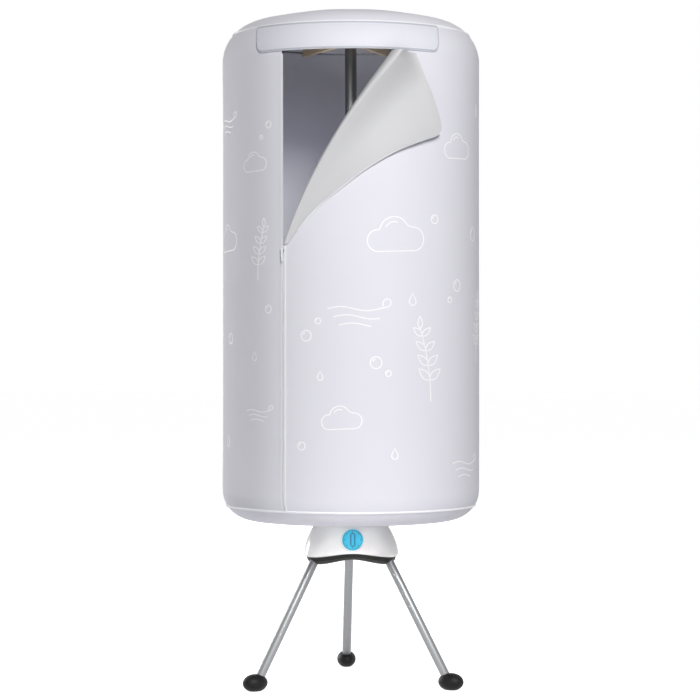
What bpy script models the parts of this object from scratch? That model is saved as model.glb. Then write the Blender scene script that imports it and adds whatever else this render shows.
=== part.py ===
"""Portable clothes dryer: a fan heater on a tripod carries a pole with eight folding
hanger arms and a round zip-up cover, whose door corner is turned back.

Metres, +Z up, origin on the floor under the pole. The door faces -Y. Angles round the
pole are measured from the front, towards +X."""

import math

import bmesh
import bpy
from mathutils import Matrix, Vector

# Clearances
GAP = 0.0003                    # between neighbours that touch
SHAFT_GAP = 0.0001              # round a turning shaft
OVERRUN = 0.004                 # how far a cutter runs past a face
MERGE = 0.00001                 # points closer than this become one

# Facets
ROUND_STEPS = 36                # round the cover, its rings and the heater's housing
BORE_STEPS = 24
TUBE_STEPS = 16
SMALL_STEPS = 12
SCREW_STEPS = 8
WIRE_STEPS = 6
HOOP_STEPS = 4
SHARP_DEG = 35.0
CLOTH_SHARP_DEG = 50.0

# Cover: a straight drum with a rounded shoulder and a shallow crown at each end
COVER_RADIUS = 0.276
COVER_TOP_Z = 1.441
COVER_LOW_RISE = 0.0616         # lowest cloth over the housing's widest level
TOP_SHOULDER_DROP = 0.111       # from the top down to the straight drum
TOP_SHOULDER_RADIUS = 0.088
LOW_SHOULDER_RISE = 0.0744      # from the lowest cloth up to the straight drum
LOW_SHOULDER_RADIUS = 0.064
CLOTH = 0.0016
TOP_PIPING_DEG = 48.6           # from straight up, round the shoulder
LOW_PIPING_DEG = 59.2           # from straight down
PIPING_RADIUS = 0.0024
HOOP_WIRE_RADIUS = 0.002
HEM_RADIUS = 0.0015
SIDE_SEAM_DEG = 90.0
CROWN_STEPS = 3
SHOULDER_STEPS = 3
TOP_PANEL_STEPS = 3             # of a side panel, over the shoulder
LOW_PANEL_STEPS = 2

# Door: zip line, opening and the corner that is turned back
ZIP_DEG = -32.6
TIP_RAMP = 0.012                # under it, the door's edge leaves the zip line
DOOR_HEAD_DROP = 0.001          # from the straight drum's top to the cloth over the opening
DOOR_OPEN_HEIGHT = 0.395        # from that cloth to the tip of the open part
DOOR_OPEN_WIDTH = 0.220         # of the opening at its head, round the drum
ZIP_SLIT = 0.0016               # between the two half chains
ZIP_CHAIN = 0.0022              # width of a half chain
FLAP_HEAD_DROP = 0.003          # the flap's top edge under the head
FOLD_TIP_RADIUS = 0.002
FOLD_HEAD_RADIUS = 0.012
FLAP_TIP_LIFT = 0.004
FLAP_HEAD_LIFT = 0.022
FOLD_SHARES = ((0.024, 0.0), (0.08, 0.09), (0.17, 0.19), (0.29, 0.33), (0.42, 0.48), (0.57, 0.61),
               (0.70, 0.73), (0.81, 0.82), (0.85, 0.86), (0.93, 0.92), (1.02, 1.0))
FREE_EDGE_SHARES = ((0.06, 0.0), (0.20, 0.10), (0.37, 0.20), (0.57, 0.29), (0.80, 0.39), (1.06, 0.48),
                    (1.31, 0.54), (1.50, 0.58), (1.53, 0.63), (1.43, 0.81), (1.28, 1.0))
ROLL_STEPS = 5
FLAP_STEPS = 3

# Name band
BAND_START_DEG = -46.9
BAND_END_DEG = 38.6
BAND_THICKNESS = 0.002
BAND_CORNER = 0.013

# Zip slider and its pull
SLIDER_WIDTH = 0.008
SLIDER_LENGTH = 0.013
SLIDER_PLATE = 0.0013
SLIDER_NECK = 0.001
SLIDER_NECK_LENGTH = 0.005
SLIDER_DROP = 0.011             # middle of the slider under the tip of the opening
SLIDER_CLEAR = 0.0008
PULL_PIN_RADIUS = 0.0007
PULL_PIN_RISE = 0.0026          # over the outer plate
PULL_EAR = 0.0012
PULL_WIDTH = 0.0045
PULL_LENGTH = 0.026
PULL_THICKNESS = 0.0016
PULL_PIN_CLEAR = 0.0003

# Heater housing: an elliptical dome with a soft lobe over each leg
SHELL_RADIUS = 0.0985
SHELL_DOME_HEIGHT = 0.099
SHELL_BASE_Z = 0.280            # its widest level
SHELL_WALL = 0.0025
LOBE_DEPTH = 0.0085
NECK_RISE = 0.055               # over the widest level, where the lobes have faded out
SHELL_RISE = 0.087
EDGE_ROUND = 0.004
SEAM_DROP = 0.001               # under the widest level, like the next drops
SEAM_DIP = 0.005
TRAY_DROP = 0.016
TRAY_DIP = 0.006
TRAY_PLATE_DROP = 0.010
TRAY_PLATE_RADIUS = 0.068
TRAY_FLOOR_INSET = 0.020
TRAY_INSET_SHARES = (0.35, 0.75, 1.0)
TRAY_DROP_SHARES = (0.55, 0.92, 1.0)
SHELL_EDGE_STEPS = 2
SHELL_DOME_STEPS = 5
VENT_INNER = 0.022
VENT_OUTER = 0.058
VENT_WIDTH = 0.004
VENT_COUNT = 12

# Air outlet and pole socket
OUTLET_RADIUS = 0.052
GRILLE_FLANGE = 0.003
GRILLE_THICKNESS = 0.0021
SPIGOT_DEPTH = 0.006
SPIGOT_WALL = 0.0025
SPOKE_COUNT = 8
SPOKE_WIDTH = 0.0024
GRILLE_RING_RADIUS = 0.036
BOSS_WALL = 0.006
SOCKET_WALL = 0.0052
SOCKET_FLANGE = 0.005
SOCKET_FLANGE_THICKNESS = 0.003
SOCKET_DEPTH = 0.020
SOCKET_FLOOR = 0.003

# Fan and motor
BRACKET_RADIUS = 0.026
BRACKET_REACH = 0.052
BRACKET_THICKNESS = 0.003
BRACKET_ARM_WIDTH = 0.009
BRACKET_FOOT_RADIUS = 0.006
BRACKET_FOOT_HEIGHT = 0.0065
BRACKET_COUNT = 3
SCREW_RADIUS = 0.0016
SCREW_HEAD_RADIUS = 0.0036
SCREW_HEAD_HEIGHT = 0.0022
MOTOR_RADIUS = 0.021
MOTOR_HEIGHT = 0.0195
MOTOR_NOSE_RADIUS = 0.007
MOTOR_NOSE_HEIGHT = 0.002
SHAFT_RADIUS = 0.003
SHAFT_SEAT = 0.016
FAN_RADIUS = 0.049
FAN_HUB_RADIUS = 0.015
FAN_HEIGHT = 0.013
FAN_LIFT = 0.001
BLADE_COUNT = 7
FAN_BLADE_THICKNESS = 0.0018
FAN_PITCH_DEG = 52.0
FAN_CHORD_SHARE = 0.92          # of the widest blade that fits the fan's height

# Heater
HEATER_CAN_WALL = 0.002
HEATER_CAN_HEIGHT = 0.0357
HEATER_LIP = 0.0075
HEATER_BORE = 0.022
HEATER_HEIGHT = 0.0177
HEATER_SLOT_COUNT = 12
HEATER_SLOT_WIDTH = 0.0035
HEATER_SLOT_MARGIN = 0.004
CUTOUT_SIZE = (0.006, 0.012, 0.010)
CUTOUT_EDGE = 0.001
CUTOUT_DEG = 90.0
CUTOUT_DROP = 0.018

# Timer and its dial
DIAL_RISE = 0.034               # over the housing's widest level
DIAL_TILT_DEG = 12.0
DIAL_RADIUS = 0.022
DIAL_CLEAR = 0.0005
BEZEL_WALL = 0.0025
BEZEL_DEPTH = 0.012
BEZEL_FLOOR = 0.002
DIAL_PROUD = 0.0035
GRIP_LENGTH = 0.027
GRIP_WIDTH = 0.0075
GRIP_HEIGHT = 0.005
GRIP_SIDE_SHARE = 0.62          # of the grip's foot, at its top
GRIP_END_SHARE = 0.79
DIAL_SHAFT_RADIUS = 0.003
DIAL_SEAT = 0.007
TIMER_SIZE = 0.028
TIMER_DEPTH = 0.0175
TIMER_EDGE = 0.002

# Cord inlet
INLET_DEG = 150.0
INLET_RISE = 0.020
INLET_RADIUS = 0.005
INLET_FLANGE_RADIUS = 0.008
INLET_FLANGE_THICKNESS = 0.003
INLET_BORE_RADIUS = 0.003
INLET_STANDOFF = 0.0015
INLET_LENGTH = 0.009

# Legs and feet
LEG_DEGS = {"front_left": -60.0, "front_right": 60.0, "rear": 180.0}
LEG_TUBE_RADIUS = 0.0095
LEG_TUBE_WALL = 0.0012
LEG_TILT_DEG = 29.6
LEG_REACH = 0.0998              # from the pole's axis to the leg's, LEG_REACH_DROP down
LEG_REACH_DROP = 0.029          # under the housing's widest level
LEG_LOW_Z = 0.016
LEG_TOP_RISE = 0.026
SLEEVE_WALL = 0.0018
SLEEVE_DROP = 0.014
SLEEVE_CAP = 0.006
FOOT_LENGTH = 0.062
FOOT_WIDTH = 0.043
FOOT_HEIGHT = 0.036
FOOT_SINK = 0.002               # of the full oval below the floor, cut off flat
FOOT_OFFSET = 0.005
FOOT_RING_STEPS = 6
FOOT_STEPS = 12

# Pole
POLE_RADIUS = 0.0125
POLE_WALL = 0.0012
POLE_JOINT_SHARES = (0.33, 0.66)
COUPLER_WALL = 0.0032
COUPLER_LENGTH = 0.060
COUPLER_LIP = 0.001

# Hanger hub and arms
ARM_COUNT = 8
ARM_START_DEG = 22.5
PIVOT_RADIUS = 0.034
PIVOT_RISE = 0.0114             # over the top hoop
PIVOT_WIRE_RADIUS = 0.002
ARM_THICKNESS = 0.010
ARM_EYE = 0.0075
ARM_TIP_HEIGHT = 0.0063         # of the tip, under its seat for the hoop
ARM_UNDER_START = 0.026
ARM_THROAT = 0.009              # level stretch by the eye, which clears the hub when folded
ARM_TIP = 0.0024                # past the middle of the top hoop
ARM_TIP_ROUND = 0.003
ARM_TOP_CLEAR = 0.0020
ARM_STEP_CLEAR = 0.0018
ARM_INNER_DROP = 0.003          # of the crown's inner end, which swings up as the arm folds
ARM_TOP_SHARES = (0.07, 0.28, 0.54, 0.81, 0.91)
WINDOW_START = 0.021
WINDOW_MARGIN = 0.052           # from the window's end to the arm's tip
WINDOW_UNDER = 0.007
WINDOW_OVER = 0.006
WINDOW_CORNER = 0.003
HUB_LUG_REACH = 0.006           # past the pivot
HUB_LUG_HALF = 0.007
HUB_LOW = 0.010                 # core under the pivot
HUB_HEADROOM = 0.003            # from the hub's cap to the cloth
HUB_ROOF = 0.006
CAP_HEIGHT = 0.005
CAP_ROUND = 0.002

# Colours, roughness and metallic of each finish
FINISHES = {
    "cover_cloth": ("E6E5EC", 0.7, 0.0),
    "piping_cord": ("CACBD0", 0.6, 0.0),
    "band_pvc": ("E1E1E9", 0.45, 0.0),
    "zip_nylon": ("EDEDF2", 0.5, 0.0),
    "white_abs": ("EDEDED", 0.3, 0.0),
    "black_abs": ("2E2F29", 0.45, 0.0),
    "blue_abs": ("47BEDA", 0.2, 0.0),
    "aluminium": ("B4B5B6", 0.3, 1.0),
    "steel": ("A8A9AB", 0.35, 1.0),
    "rubber": ("1A1A1A", 0.7, 0.0),
    "grey_abs": ("C9CACD", 0.45, 0.0),
    "beige_abs": ("E3CFAE", 0.45, 0.0),
    "ceramic": ("9A6B4B", 0.8, 0.0),
}

# What follows from the sizes above
ZIP_ANGLE = math.radians(ZIP_DEG)
COVER_LOW_Z = SHELL_BASE_Z + COVER_LOW_RISE
LOW_SHOULDER_Z = COVER_LOW_Z + LOW_SHOULDER_RISE
TOP_SHOULDER_Z = COVER_TOP_Z - TOP_SHOULDER_DROP
DOOR_HEAD_Z = TOP_SHOULDER_Z - DOOR_HEAD_DROP
ZIP_TIP_Z = DOOR_HEAD_Z - DOOR_OPEN_HEIGHT
TOP_PIPING = math.radians(TOP_PIPING_DEG)
LOW_PIPING = math.radians(LOW_PIPING_DEG)
TOP_CENTRE_RADIUS = COVER_RADIUS - TOP_SHOULDER_RADIUS
TOP_RISE = COVER_TOP_Z - TOP_SHOULDER_Z - TOP_SHOULDER_RADIUS
TOP_CROWN_RADIUS = (TOP_CENTRE_RADIUS ** 2 + TOP_RISE ** 2) / (2 * TOP_RISE) + TOP_SHOULDER_RADIUS
TOP_CROWN_Z = COVER_TOP_Z - TOP_CROWN_RADIUS
TOP_CROWN_ANGLE = math.atan2(TOP_CENTRE_RADIUS, TOP_SHOULDER_Z - TOP_CROWN_Z)
LOW_CENTRE_RADIUS = COVER_RADIUS - LOW_SHOULDER_RADIUS
LOW_RISE = LOW_SHOULDER_Z - LOW_SHOULDER_RADIUS - COVER_LOW_Z
LOW_CROWN_RADIUS = (LOW_CENTRE_RADIUS ** 2 + LOW_RISE ** 2) / (2 * LOW_RISE) + LOW_SHOULDER_RADIUS
LOW_CROWN_Z = COVER_LOW_Z + LOW_CROWN_RADIUS
LOW_CROWN_ANGLE = math.atan2(LOW_CENTRE_RADIUS, LOW_CROWN_Z - LOW_SHOULDER_Z)
SEAM_HALF = PIPING_RADIUS + GAP         # from a piping's middle to the cloth's edge
DOOR_EDGE = ZIP_SLIT / 2 + ZIP_CHAIN + GAP      # from the zip line to the cloth's edge
HOOP_INSET = CLOTH / 2 + PIPING_RADIUS + GAP + HOOP_WIRE_RADIUS
TOP_HOOP_RADIUS = TOP_CENTRE_RADIUS + (TOP_SHOULDER_RADIUS - HOOP_INSET) * math.sin(TOP_PIPING)
TOP_HOOP_Z = TOP_SHOULDER_Z + (TOP_SHOULDER_RADIUS - HOOP_INSET) * math.cos(TOP_PIPING)
LOW_HOOP_RADIUS = LOW_CENTRE_RADIUS + (LOW_SHOULDER_RADIUS - HOOP_INSET) * math.sin(LOW_PIPING)
LOW_HOOP_Z = LOW_SHOULDER_Z - (LOW_SHOULDER_RADIUS - HOOP_INSET) * math.cos(LOW_PIPING)
NECK_Z = SHELL_BASE_Z + NECK_RISE
SHELL_END_Z = SHELL_BASE_Z + SHELL_RISE
TRAY_PLATE_Z = SHELL_BASE_Z - TRAY_PLATE_DROP
LEG_TILT = math.radians(LEG_TILT_DEG)
LEG_TOP_Z = SHELL_BASE_Z + LEG_TOP_RISE
SLEEVE_LOW_Z = SHELL_BASE_Z - SLEEVE_DROP
LOBE_ANGLE = math.radians(LEG_DEGS["front_right"])
SLEEVE_BORE = LEG_TUBE_RADIUS + GAP
SOCKET_BORE = POLE_RADIUS + GAP
SOCKET_RADIUS = SOCKET_BORE + SOCKET_WALL
DIAL_TILT = math.radians(DIAL_TILT_DEG)
DIAL_Z = SHELL_BASE_Z + DIAL_RISE
INLET_Z = SHELL_BASE_Z + INLET_RISE
BEZEL_BORE = DIAL_RADIUS + DIAL_CLEAR
BEZEL_RADIUS = BEZEL_BORE + BEZEL_WALL
FLOOR_TOP_Z = TRAY_PLATE_Z + SHELL_WALL
OUTLET_EDGE_Z = SHELL_BASE_Z + SHELL_DOME_HEIGHT * math.sqrt(1 - (OUTLET_RADIUS / SHELL_RADIUS) ** 2)
GRILLE_Z = OUTLET_EDGE_Z + GAP
SOCKET_FLANGE_Z = GRILLE_Z + GRILLE_THICKNESS + GAP
SOCKET_LOW_Z = SOCKET_FLANGE_Z - SOCKET_DEPTH
BRACKET_Z = FLOOR_TOP_Z + GAP + BRACKET_FOOT_HEIGHT
MOTOR_Z = BRACKET_Z + BRACKET_THICKNESS + GAP
FAN_Z = MOTOR_Z + MOTOR_HEIGHT + MOTOR_NOSE_HEIGHT + FAN_LIFT
HUB_CORE_RADIUS = PIVOT_RADIUS - ARM_EYE - GAP
PIVOT_Z = TOP_HOOP_Z + PIVOT_RISE
HUB_TOP_Z = COVER_TOP_Z - CLOTH - HUB_HEADROOM - CAP_HEIGHT - GAP
POLE_TOP_Z = HUB_TOP_Z - HUB_ROOF - GAP
POLE_LOW_Z = SOCKET_LOW_Z + SOCKET_FLOOR + GAP


def clear_scene():
    """Remove whatever the file holds."""
    for thing in list(bpy.data.objects):
        bpy.data.objects.remove(thing, do_unlink=True)


def new_collection(name):
    """A collection under the scene's own."""
    collection = bpy.data.collections.new(name)
    bpy.context.scene.collection.children.link(collection)
    return collection


def linear(channel):
    """One sRGB channel, 0 to 1, as linear light."""
    return channel / 12.92 if channel <= 0.04045 else ((channel + 0.055) / 1.055) ** 2.4


def piece_material(name, finish):
    """A piece's own material in one of the finishes."""
    colour, roughness, metallic = FINISHES[finish]
    material = bpy.data.materials.new(name)
    material.use_nodes = True
    shader = material.node_tree.nodes["Principled BSDF"]
    channels = [linear(int(colour[start:start + 2], 16) / 255) for start in (0, 2, 4)]
    shader.inputs["Base Color"].default_value = (*channels, 1.0)
    shader.inputs["Roughness"].default_value = roughness
    shader.inputs["Metallic"].default_value = metallic
    return material


def add_object(name, data, finish=None):
    """Link data as a piece with its finish, or as a hidden cutter without one."""
    piece = bpy.data.objects.new(name, data)
    if finish is None:
        CUTTERS.objects.link(piece)
        piece.hide_render = True
        piece.display_type = "WIRE"
    else:
        PARTS.objects.link(piece)
        data.materials.append(piece_material(name, finish))
    return piece


def mesh_object(name, bm, finish=None, sharp_deg=SHARP_DEG):
    """A bmesh as an object, smooth but for its sharp edges."""
    mesh = bpy.data.meshes.new(name)
    bm.to_mesh(mesh)
    bm.free()
    mesh.shade_smooth()
    mesh.set_sharp_from_angle(angle=math.radians(sharp_deg))
    return add_object(name, mesh, finish)


def outward(angle):
    """Level direction away from the pole, at an angle from the front."""
    return Vector((math.sin(angle), -math.cos(angle), 0))


def sideways(angle):
    """Level direction round the pole, towards growing angles."""
    return Vector((math.cos(angle), math.sin(angle), 0))


def frame_at(point, x_axis, y_axis, z_axis):
    """Placement whose local axes are the three given directions."""
    turn = Matrix((x_axis, y_axis, z_axis)).transposed().to_4x4()
    return Matrix.Translation(point) @ turn


def turned(name, outline, steps, finish=None, place=None):
    """A profile of (radius, height) points turned round its own Z axis."""
    bm = bmesh.new()
    points = [bm.verts.new((radius, 0, height)) for radius, height in outline]
    for start, end in zip(points, points[1:]):
        bm.edges.new((start, end))
    if outline[0][0] > 0 or outline[-1][0] > 0:
        bm.edges.new((points[-1], points[0]))
    piece = mesh_object(name, bm, finish)
    screw = piece.modifiers.new("Turn", "SCREW")
    screw.steps = steps
    screw.render_steps = steps
    screw.use_merge_vertices = True
    screw.merge_threshold = MERGE
    screw.use_smooth_shade = True
    if place is not None:
        piece.matrix_world = place
    return piece


def ring_outline(inner, outer, low, high):
    """Profile of a plain ring, down its outer side and up its bore."""
    return [(outer, high), (outer, low), (inner, low), (inner, high)]


def disc_outline(outer, low, high):
    """Profile of a plain disc."""
    return [(0, high), (outer, high), (outer, low), (0, low)]


def box(name, size, place, finish=None, edge=0):
    """A box of the given size centred on place, with its edges rounded."""
    bm = bmesh.new()
    bmesh.ops.create_cube(bm, size=1)
    bmesh.ops.scale(bm, vec=Vector(size), verts=bm.verts)
    piece = mesh_object(name, bm, finish)
    piece.matrix_world = place
    if edge:
        bevel = piece.modifiers.new("Edges", "BEVEL")
        bevel.width = edge
        bevel.segments = 1
    return piece


def box_ring(name, size, radius, low_z, count, start_angle=0):
    """A cutter of boxes set round the axis: size is (sideways, outward, up)."""
    bm = bmesh.new()
    for number in range(count):
        angle = start_angle + number * math.tau / count
        centre = outward(angle) * radius + Vector((0, 0, low_z + size[2] / 2))
        place = frame_at(centre, sideways(angle), -outward(angle), Vector((0, 0, 1)))
        bmesh.ops.create_cube(bm, size=1, matrix=place @ Matrix.Diagonal((*size, 1)))
    return mesh_object(name, bm)


def torus(name, ring_radius, wire_radius, height, ring_steps, wire_steps, finish=None):
    """A wire ring lying level round the axis."""
    bpy.ops.mesh.primitive_torus_add(
        major_radius=ring_radius, minor_radius=wire_radius, location=(0, 0, height),
        major_segments=ring_steps, minor_segments=wire_steps)
    made = bpy.context.object
    mesh = made.data
    place = made.matrix_world.copy()
    bpy.data.objects.remove(made)
    mesh.name = name
    mesh.shade_smooth()
    ring = add_object(name, mesh, finish)
    ring.matrix_world = place
    return ring


def combine(piece, other, operation, solver):
    """Join other to the piece or cut it away."""
    step = piece.modifiers.new(operation.title(), "BOOLEAN")
    step.operation = operation
    step.object = other
    step.solver = solver


def cut(piece, other, solver="EXACT"):
    """Cut other away from the piece."""
    combine(piece, other, "DIFFERENCE", solver)


def join(piece, other):
    """Make other part of the piece."""
    combine(piece, other, "UNION", "EXACT")


def bent_grid(columns, rows, place):
    """A grid whose point in column i and row j lies at place(i, j)."""
    bm = bmesh.new()
    bmesh.ops.create_grid(bm, x_segments=columns, y_segments=rows, size=0.5)
    for vert in bm.verts:
        column = round((vert.co.x + 0.5) * columns)
        row = round((vert.co.y + 0.5) * rows)
        vert.co = place(column, row)
    return bm


def sheet(name, bm, thickness, finish, merge=False):
    """An open surface given its thickness on the inner side."""
    if merge:
        bmesh.ops.remove_doubles(bm, verts=bm.verts, dist=MERGE)
    piece = mesh_object(name, bm, finish, CLOTH_SHARP_DEG)
    wall = piece.modifiers.new("Wall", "SOLIDIFY")
    wall.thickness = thickness
    wall.offset = -1
    return piece


def cut_shape(name, outlines, thickness, place, finish):
    """A flat plate with the first outline's shape and the others as holes."""
    curve = bpy.data.curves.new(name, "CURVE")
    curve.dimensions = "2D"
    curve.fill_mode = "BOTH"
    curve.extrude = thickness / 2
    for outline in outlines:
        line = curve.splines.new("POLY")
        line.points.add(len(outline) - 1)
        for point, (across, up) in zip(line.points, outline):
            point.co = (across, up, 0, 1)
        line.use_cyclic_u = True
    plate = add_object(name, curve, finish)
    plate.matrix_world = place
    return plate


def arc(centre, radius, start_deg, end_deg, steps):
    """Points along an arc, both ends included."""
    points = []
    for number in range(steps + 1):
        angle = math.radians(start_deg + (end_deg - start_deg) * number / steps)
        points.append((centre[0] + radius * math.cos(angle), centre[1] + radius * math.sin(angle)))
    return points


def top_profile(inset, start, end):
    """Section of the cover's top, inset from its outside, by angle from straight up."""
    points = []
    if start < TOP_CROWN_ANGLE:
        for number in range(CROWN_STEPS):
            angle = start + (TOP_CROWN_ANGLE - start) * number / CROWN_STEPS
            radius = TOP_CROWN_RADIUS - inset
            points.append((radius * math.sin(angle), TOP_CROWN_Z + radius * math.cos(angle)))
        start = TOP_CROWN_ANGLE
    radius = TOP_SHOULDER_RADIUS - inset
    for number in range(SHOULDER_STEPS + 1):
        angle = start + (end - start) * number / SHOULDER_STEPS
        across = TOP_CENTRE_RADIUS + radius * math.sin(angle)
        points.append((across, TOP_SHOULDER_Z + radius * math.cos(angle)))
    return points


def low_profile(inset, start, hole):
    """Section of the cover's bottom, from an angle on the shoulder in to the hole."""
    points = []
    radius = LOW_SHOULDER_RADIUS - inset
    for number in range(SHOULDER_STEPS):
        angle = start + (LOW_CROWN_ANGLE - start) * number / SHOULDER_STEPS
        across = LOW_CENTRE_RADIUS + radius * math.sin(angle)
        points.append((across, LOW_SHOULDER_Z - radius * math.cos(angle)))
    radius = LOW_CROWN_RADIUS - inset
    hole_angle = math.asin(hole / radius)
    for number in range(CROWN_STEPS + 1):
        angle = LOW_CROWN_ANGLE + (hole_angle - LOW_CROWN_ANGLE) * number / CROWN_STEPS
        points.append((radius * math.sin(angle), LOW_CROWN_Z - radius * math.cos(angle)))
    return points


def cover_inside_z(radius):
    """Height of the cover's inner face over a radius, at its top end."""
    if radius < TOP_CROWN_RADIUS * math.sin(TOP_CROWN_ANGLE):
        return TOP_CROWN_Z + math.sqrt((TOP_CROWN_RADIUS - CLOTH) ** 2 - radius ** 2)
    across = radius - TOP_CENTRE_RADIUS
    return TOP_SHOULDER_Z + math.sqrt((TOP_SHOULDER_RADIUS - CLOTH) ** 2 - across ** 2)


def facet_angles(start, end):
    """Both ends, and the drum's ridges between them."""
    step = math.tau / ROUND_STEPS
    ridges = [number * step for number in range(math.ceil(start / step), math.floor(end / step) + 1)]
    return [start] + [ridge for ridge in ridges if start < ridge < end] + [end]


def side_point(angle, height, lift=0):
    """A point on the cover's faceted side, lift outside its face. Height is taken on the face."""
    if height > TOP_SHOULDER_Z:
        lean = math.asin((height - TOP_SHOULDER_Z) / TOP_SHOULDER_RADIUS)
        radius = TOP_CENTRE_RADIUS + (TOP_SHOULDER_RADIUS + lift) * math.cos(lean)
        height = TOP_SHOULDER_Z + (TOP_SHOULDER_RADIUS + lift) * math.sin(lean)
    elif height < LOW_SHOULDER_Z:
        lean = math.asin((LOW_SHOULDER_Z - height) / LOW_SHOULDER_RADIUS)
        radius = LOW_CENTRE_RADIUS + (LOW_SHOULDER_RADIUS + lift) * math.cos(lean)
        height = LOW_SHOULDER_Z - (LOW_SHOULDER_RADIUS + lift) * math.sin(lean)
    else:
        radius = COVER_RADIUS + lift
    half_step = math.pi / ROUND_STEPS
    radius *= math.cos(half_step) / math.cos(angle % (2 * half_step) - half_step)
    return outward(angle) * radius + Vector((0, 0, height))


def high_rows():
    """Row heights of a side panel over the top shoulder, from the straight drum up to the piping."""
    step = (math.pi / 2 - TOP_PIPING - SEAM_HALF / TOP_SHOULDER_RADIUS) / TOP_PANEL_STEPS
    return [TOP_SHOULDER_Z + TOP_SHOULDER_RADIUS * math.sin(step * number)
            for number in range(TOP_PANEL_STEPS + 1)]


def low_rows():
    """Row heights of a side panel round the low shoulder, from the piping up to the straight drum."""
    step = (math.pi / 2 - LOW_PIPING - SEAM_HALF / LOW_SHOULDER_RADIUS) / LOW_PANEL_STEPS
    return [LOW_SHOULDER_Z - LOW_SHOULDER_RADIUS * math.sin(step * number)
            for number in range(LOW_PANEL_STEPS, -1, -1)]


def side_panel(name, start, end, heights):
    """A cloth panel of the drum between two angles."""
    angles = facet_angles(start, end)

    def place(column, row):
        return side_point(angles[column], heights[row])

    return sheet(name, bent_grid(len(angles) - 1, len(heights) - 1, place), CLOTH, "cover_cloth")


def flap_section(station):
    """Points across the turned-back corner at a station: free edge, flap, roll, drum."""
    share = station / (len(FOLD_SHARES) - 1)
    head = DOOR_HEAD_Z - FLAP_HEAD_DROP
    zip_along = COVER_RADIUS * ZIP_ANGLE
    scale = Vector((DOOR_OPEN_WIDTH, head - ZIP_TIP_Z))
    corner = Vector((zip_along, ZIP_TIP_Z))
    fold = corner + scale * Vector(FOLD_SHARES[station])
    free = corner + scale * Vector(FREE_EDGE_SHARES[station])
    roll = FOLD_TIP_RADIUS + (FOLD_HEAD_RADIUS - FOLD_TIP_RADIUS) * share ** 2
    lift = FLAP_TIP_LIFT + (FLAP_HEAD_LIFT - FLAP_TIP_LIFT) * share
    course = (free - fold).normalized()
    points = []
    crest = fold + course * roll
    for number in range(FLAP_STEPS):
        along = number / FLAP_STEPS
        points.append((free.lerp(crest, along), lift + (2 * roll - lift) * along))
    for number in range(ROLL_STEPS + 1):
        angle = math.pi * (1 - number / ROLL_STEPS)
        points.append((fold + course * roll * (1 - math.sin(angle)), roll * (1 - math.cos(angle))))
    return points


def door_panel():
    """The door: its closed part, the cloth over the opening and the corner turned back."""
    low = low_rows() + [ZIP_TIP_Z - TIP_RAMP]
    high = [DOOR_HEAD_Z] + high_rows()
    sections = [flap_section(number) for number in range(len(FOLD_SHARES))]
    turned_columns = FLAP_STEPS + ROLL_STEPS
    edge = ZIP_ANGLE + DOOR_EDGE / COVER_RADIUS
    drum = facet_angles(edge, math.radians(SIDE_SEAM_DEG) - GAP / 2 / COVER_RADIUS)
    columns = turned_columns + len(drum) - 1
    rows = len(low) + len(sections) + len(high) - 1
    fold_end = sections[-1][-1][0][0] / COVER_RADIUS
    head = facet_angles(edge, fold_end)

    def place(column, row):
        station = row - len(low)
        on_drum = column - turned_columns
        if station < 0:
            return side_point(drum[max(on_drum, 0)], low[row])
        if station < len(sections):
            flat, lift = sections[station][min(column, turned_columns)]
            if on_drum <= 0:
                return side_point(flat[0] / COVER_RADIUS, flat[1], lift)
            return side_point(max(drum[on_drum], flat[0] / COVER_RADIUS), flat[1])
        height = high[station - len(sections)]
        if on_drum <= 0:
            return side_point(head[min(column, len(head) - 1)], height)
        return side_point(max(drum[on_drum], fold_end), height)

    bm = bmesh.new()
    bmesh.ops.create_grid(bm, x_segments=columns, y_segments=rows, size=0.5)
    spare = []
    for face in bm.faces:
        centre = face.calc_center_median()
        column = int((centre.x + 0.5) * columns)
        row = int((centre.y + 0.5) * rows)
        over_flap = row == len(low) + len(sections) - 1
        if column < turned_columns and (row < len(low) or over_flap):
            spare.append(face)
    bmesh.ops.delete(bm, geom=spare, context="FACES")
    for vert in bm.verts:
        vert.co = place(round((vert.co.x + 0.5) * columns), round((vert.co.y + 0.5) * rows))
    sheet("door_panel", bm, CLOTH, "cover_cloth", merge=True)


def zip_strip(name, side, heights):
    """A half chain along the zip line, on the given side of it."""
    near = side * ZIP_SLIT / 2 / COVER_RADIUS
    far = side * (ZIP_SLIT / 2 + ZIP_CHAIN) / COVER_RADIUS
    edges = sorted((near, far))

    def place(column, row):
        return side_point(ZIP_ANGLE + edges[column], heights[row])

    sheet(name, bent_grid(1, len(heights) - 1, place), CLOTH, "zip_nylon")


def flap_zip():
    """The rest of the door's half chain, along the lower free edge of the turned corner."""
    corner = max(range(len(FREE_EDGE_SHARES)), key=lambda number: FREE_EDGE_SHARES[number][0]) - 1
    stations = range(1, corner + 1)
    edges = []
    for station in stations:
        (free, lift), (inner, _) = flap_section(station)[:2]
        course = (free - inner).normalized()
        edges.append((free + course * GAP, free + course * (GAP + ZIP_CHAIN), lift))

    def place(column, row):
        flat = edges[row][1 - column]
        return side_point(flat[0] / COVER_RADIUS, flat[1], edges[row][2])

    sheet("zipper_flap_edge", bent_grid(1, len(edges) - 1, place), CLOTH, "zip_nylon")


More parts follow.
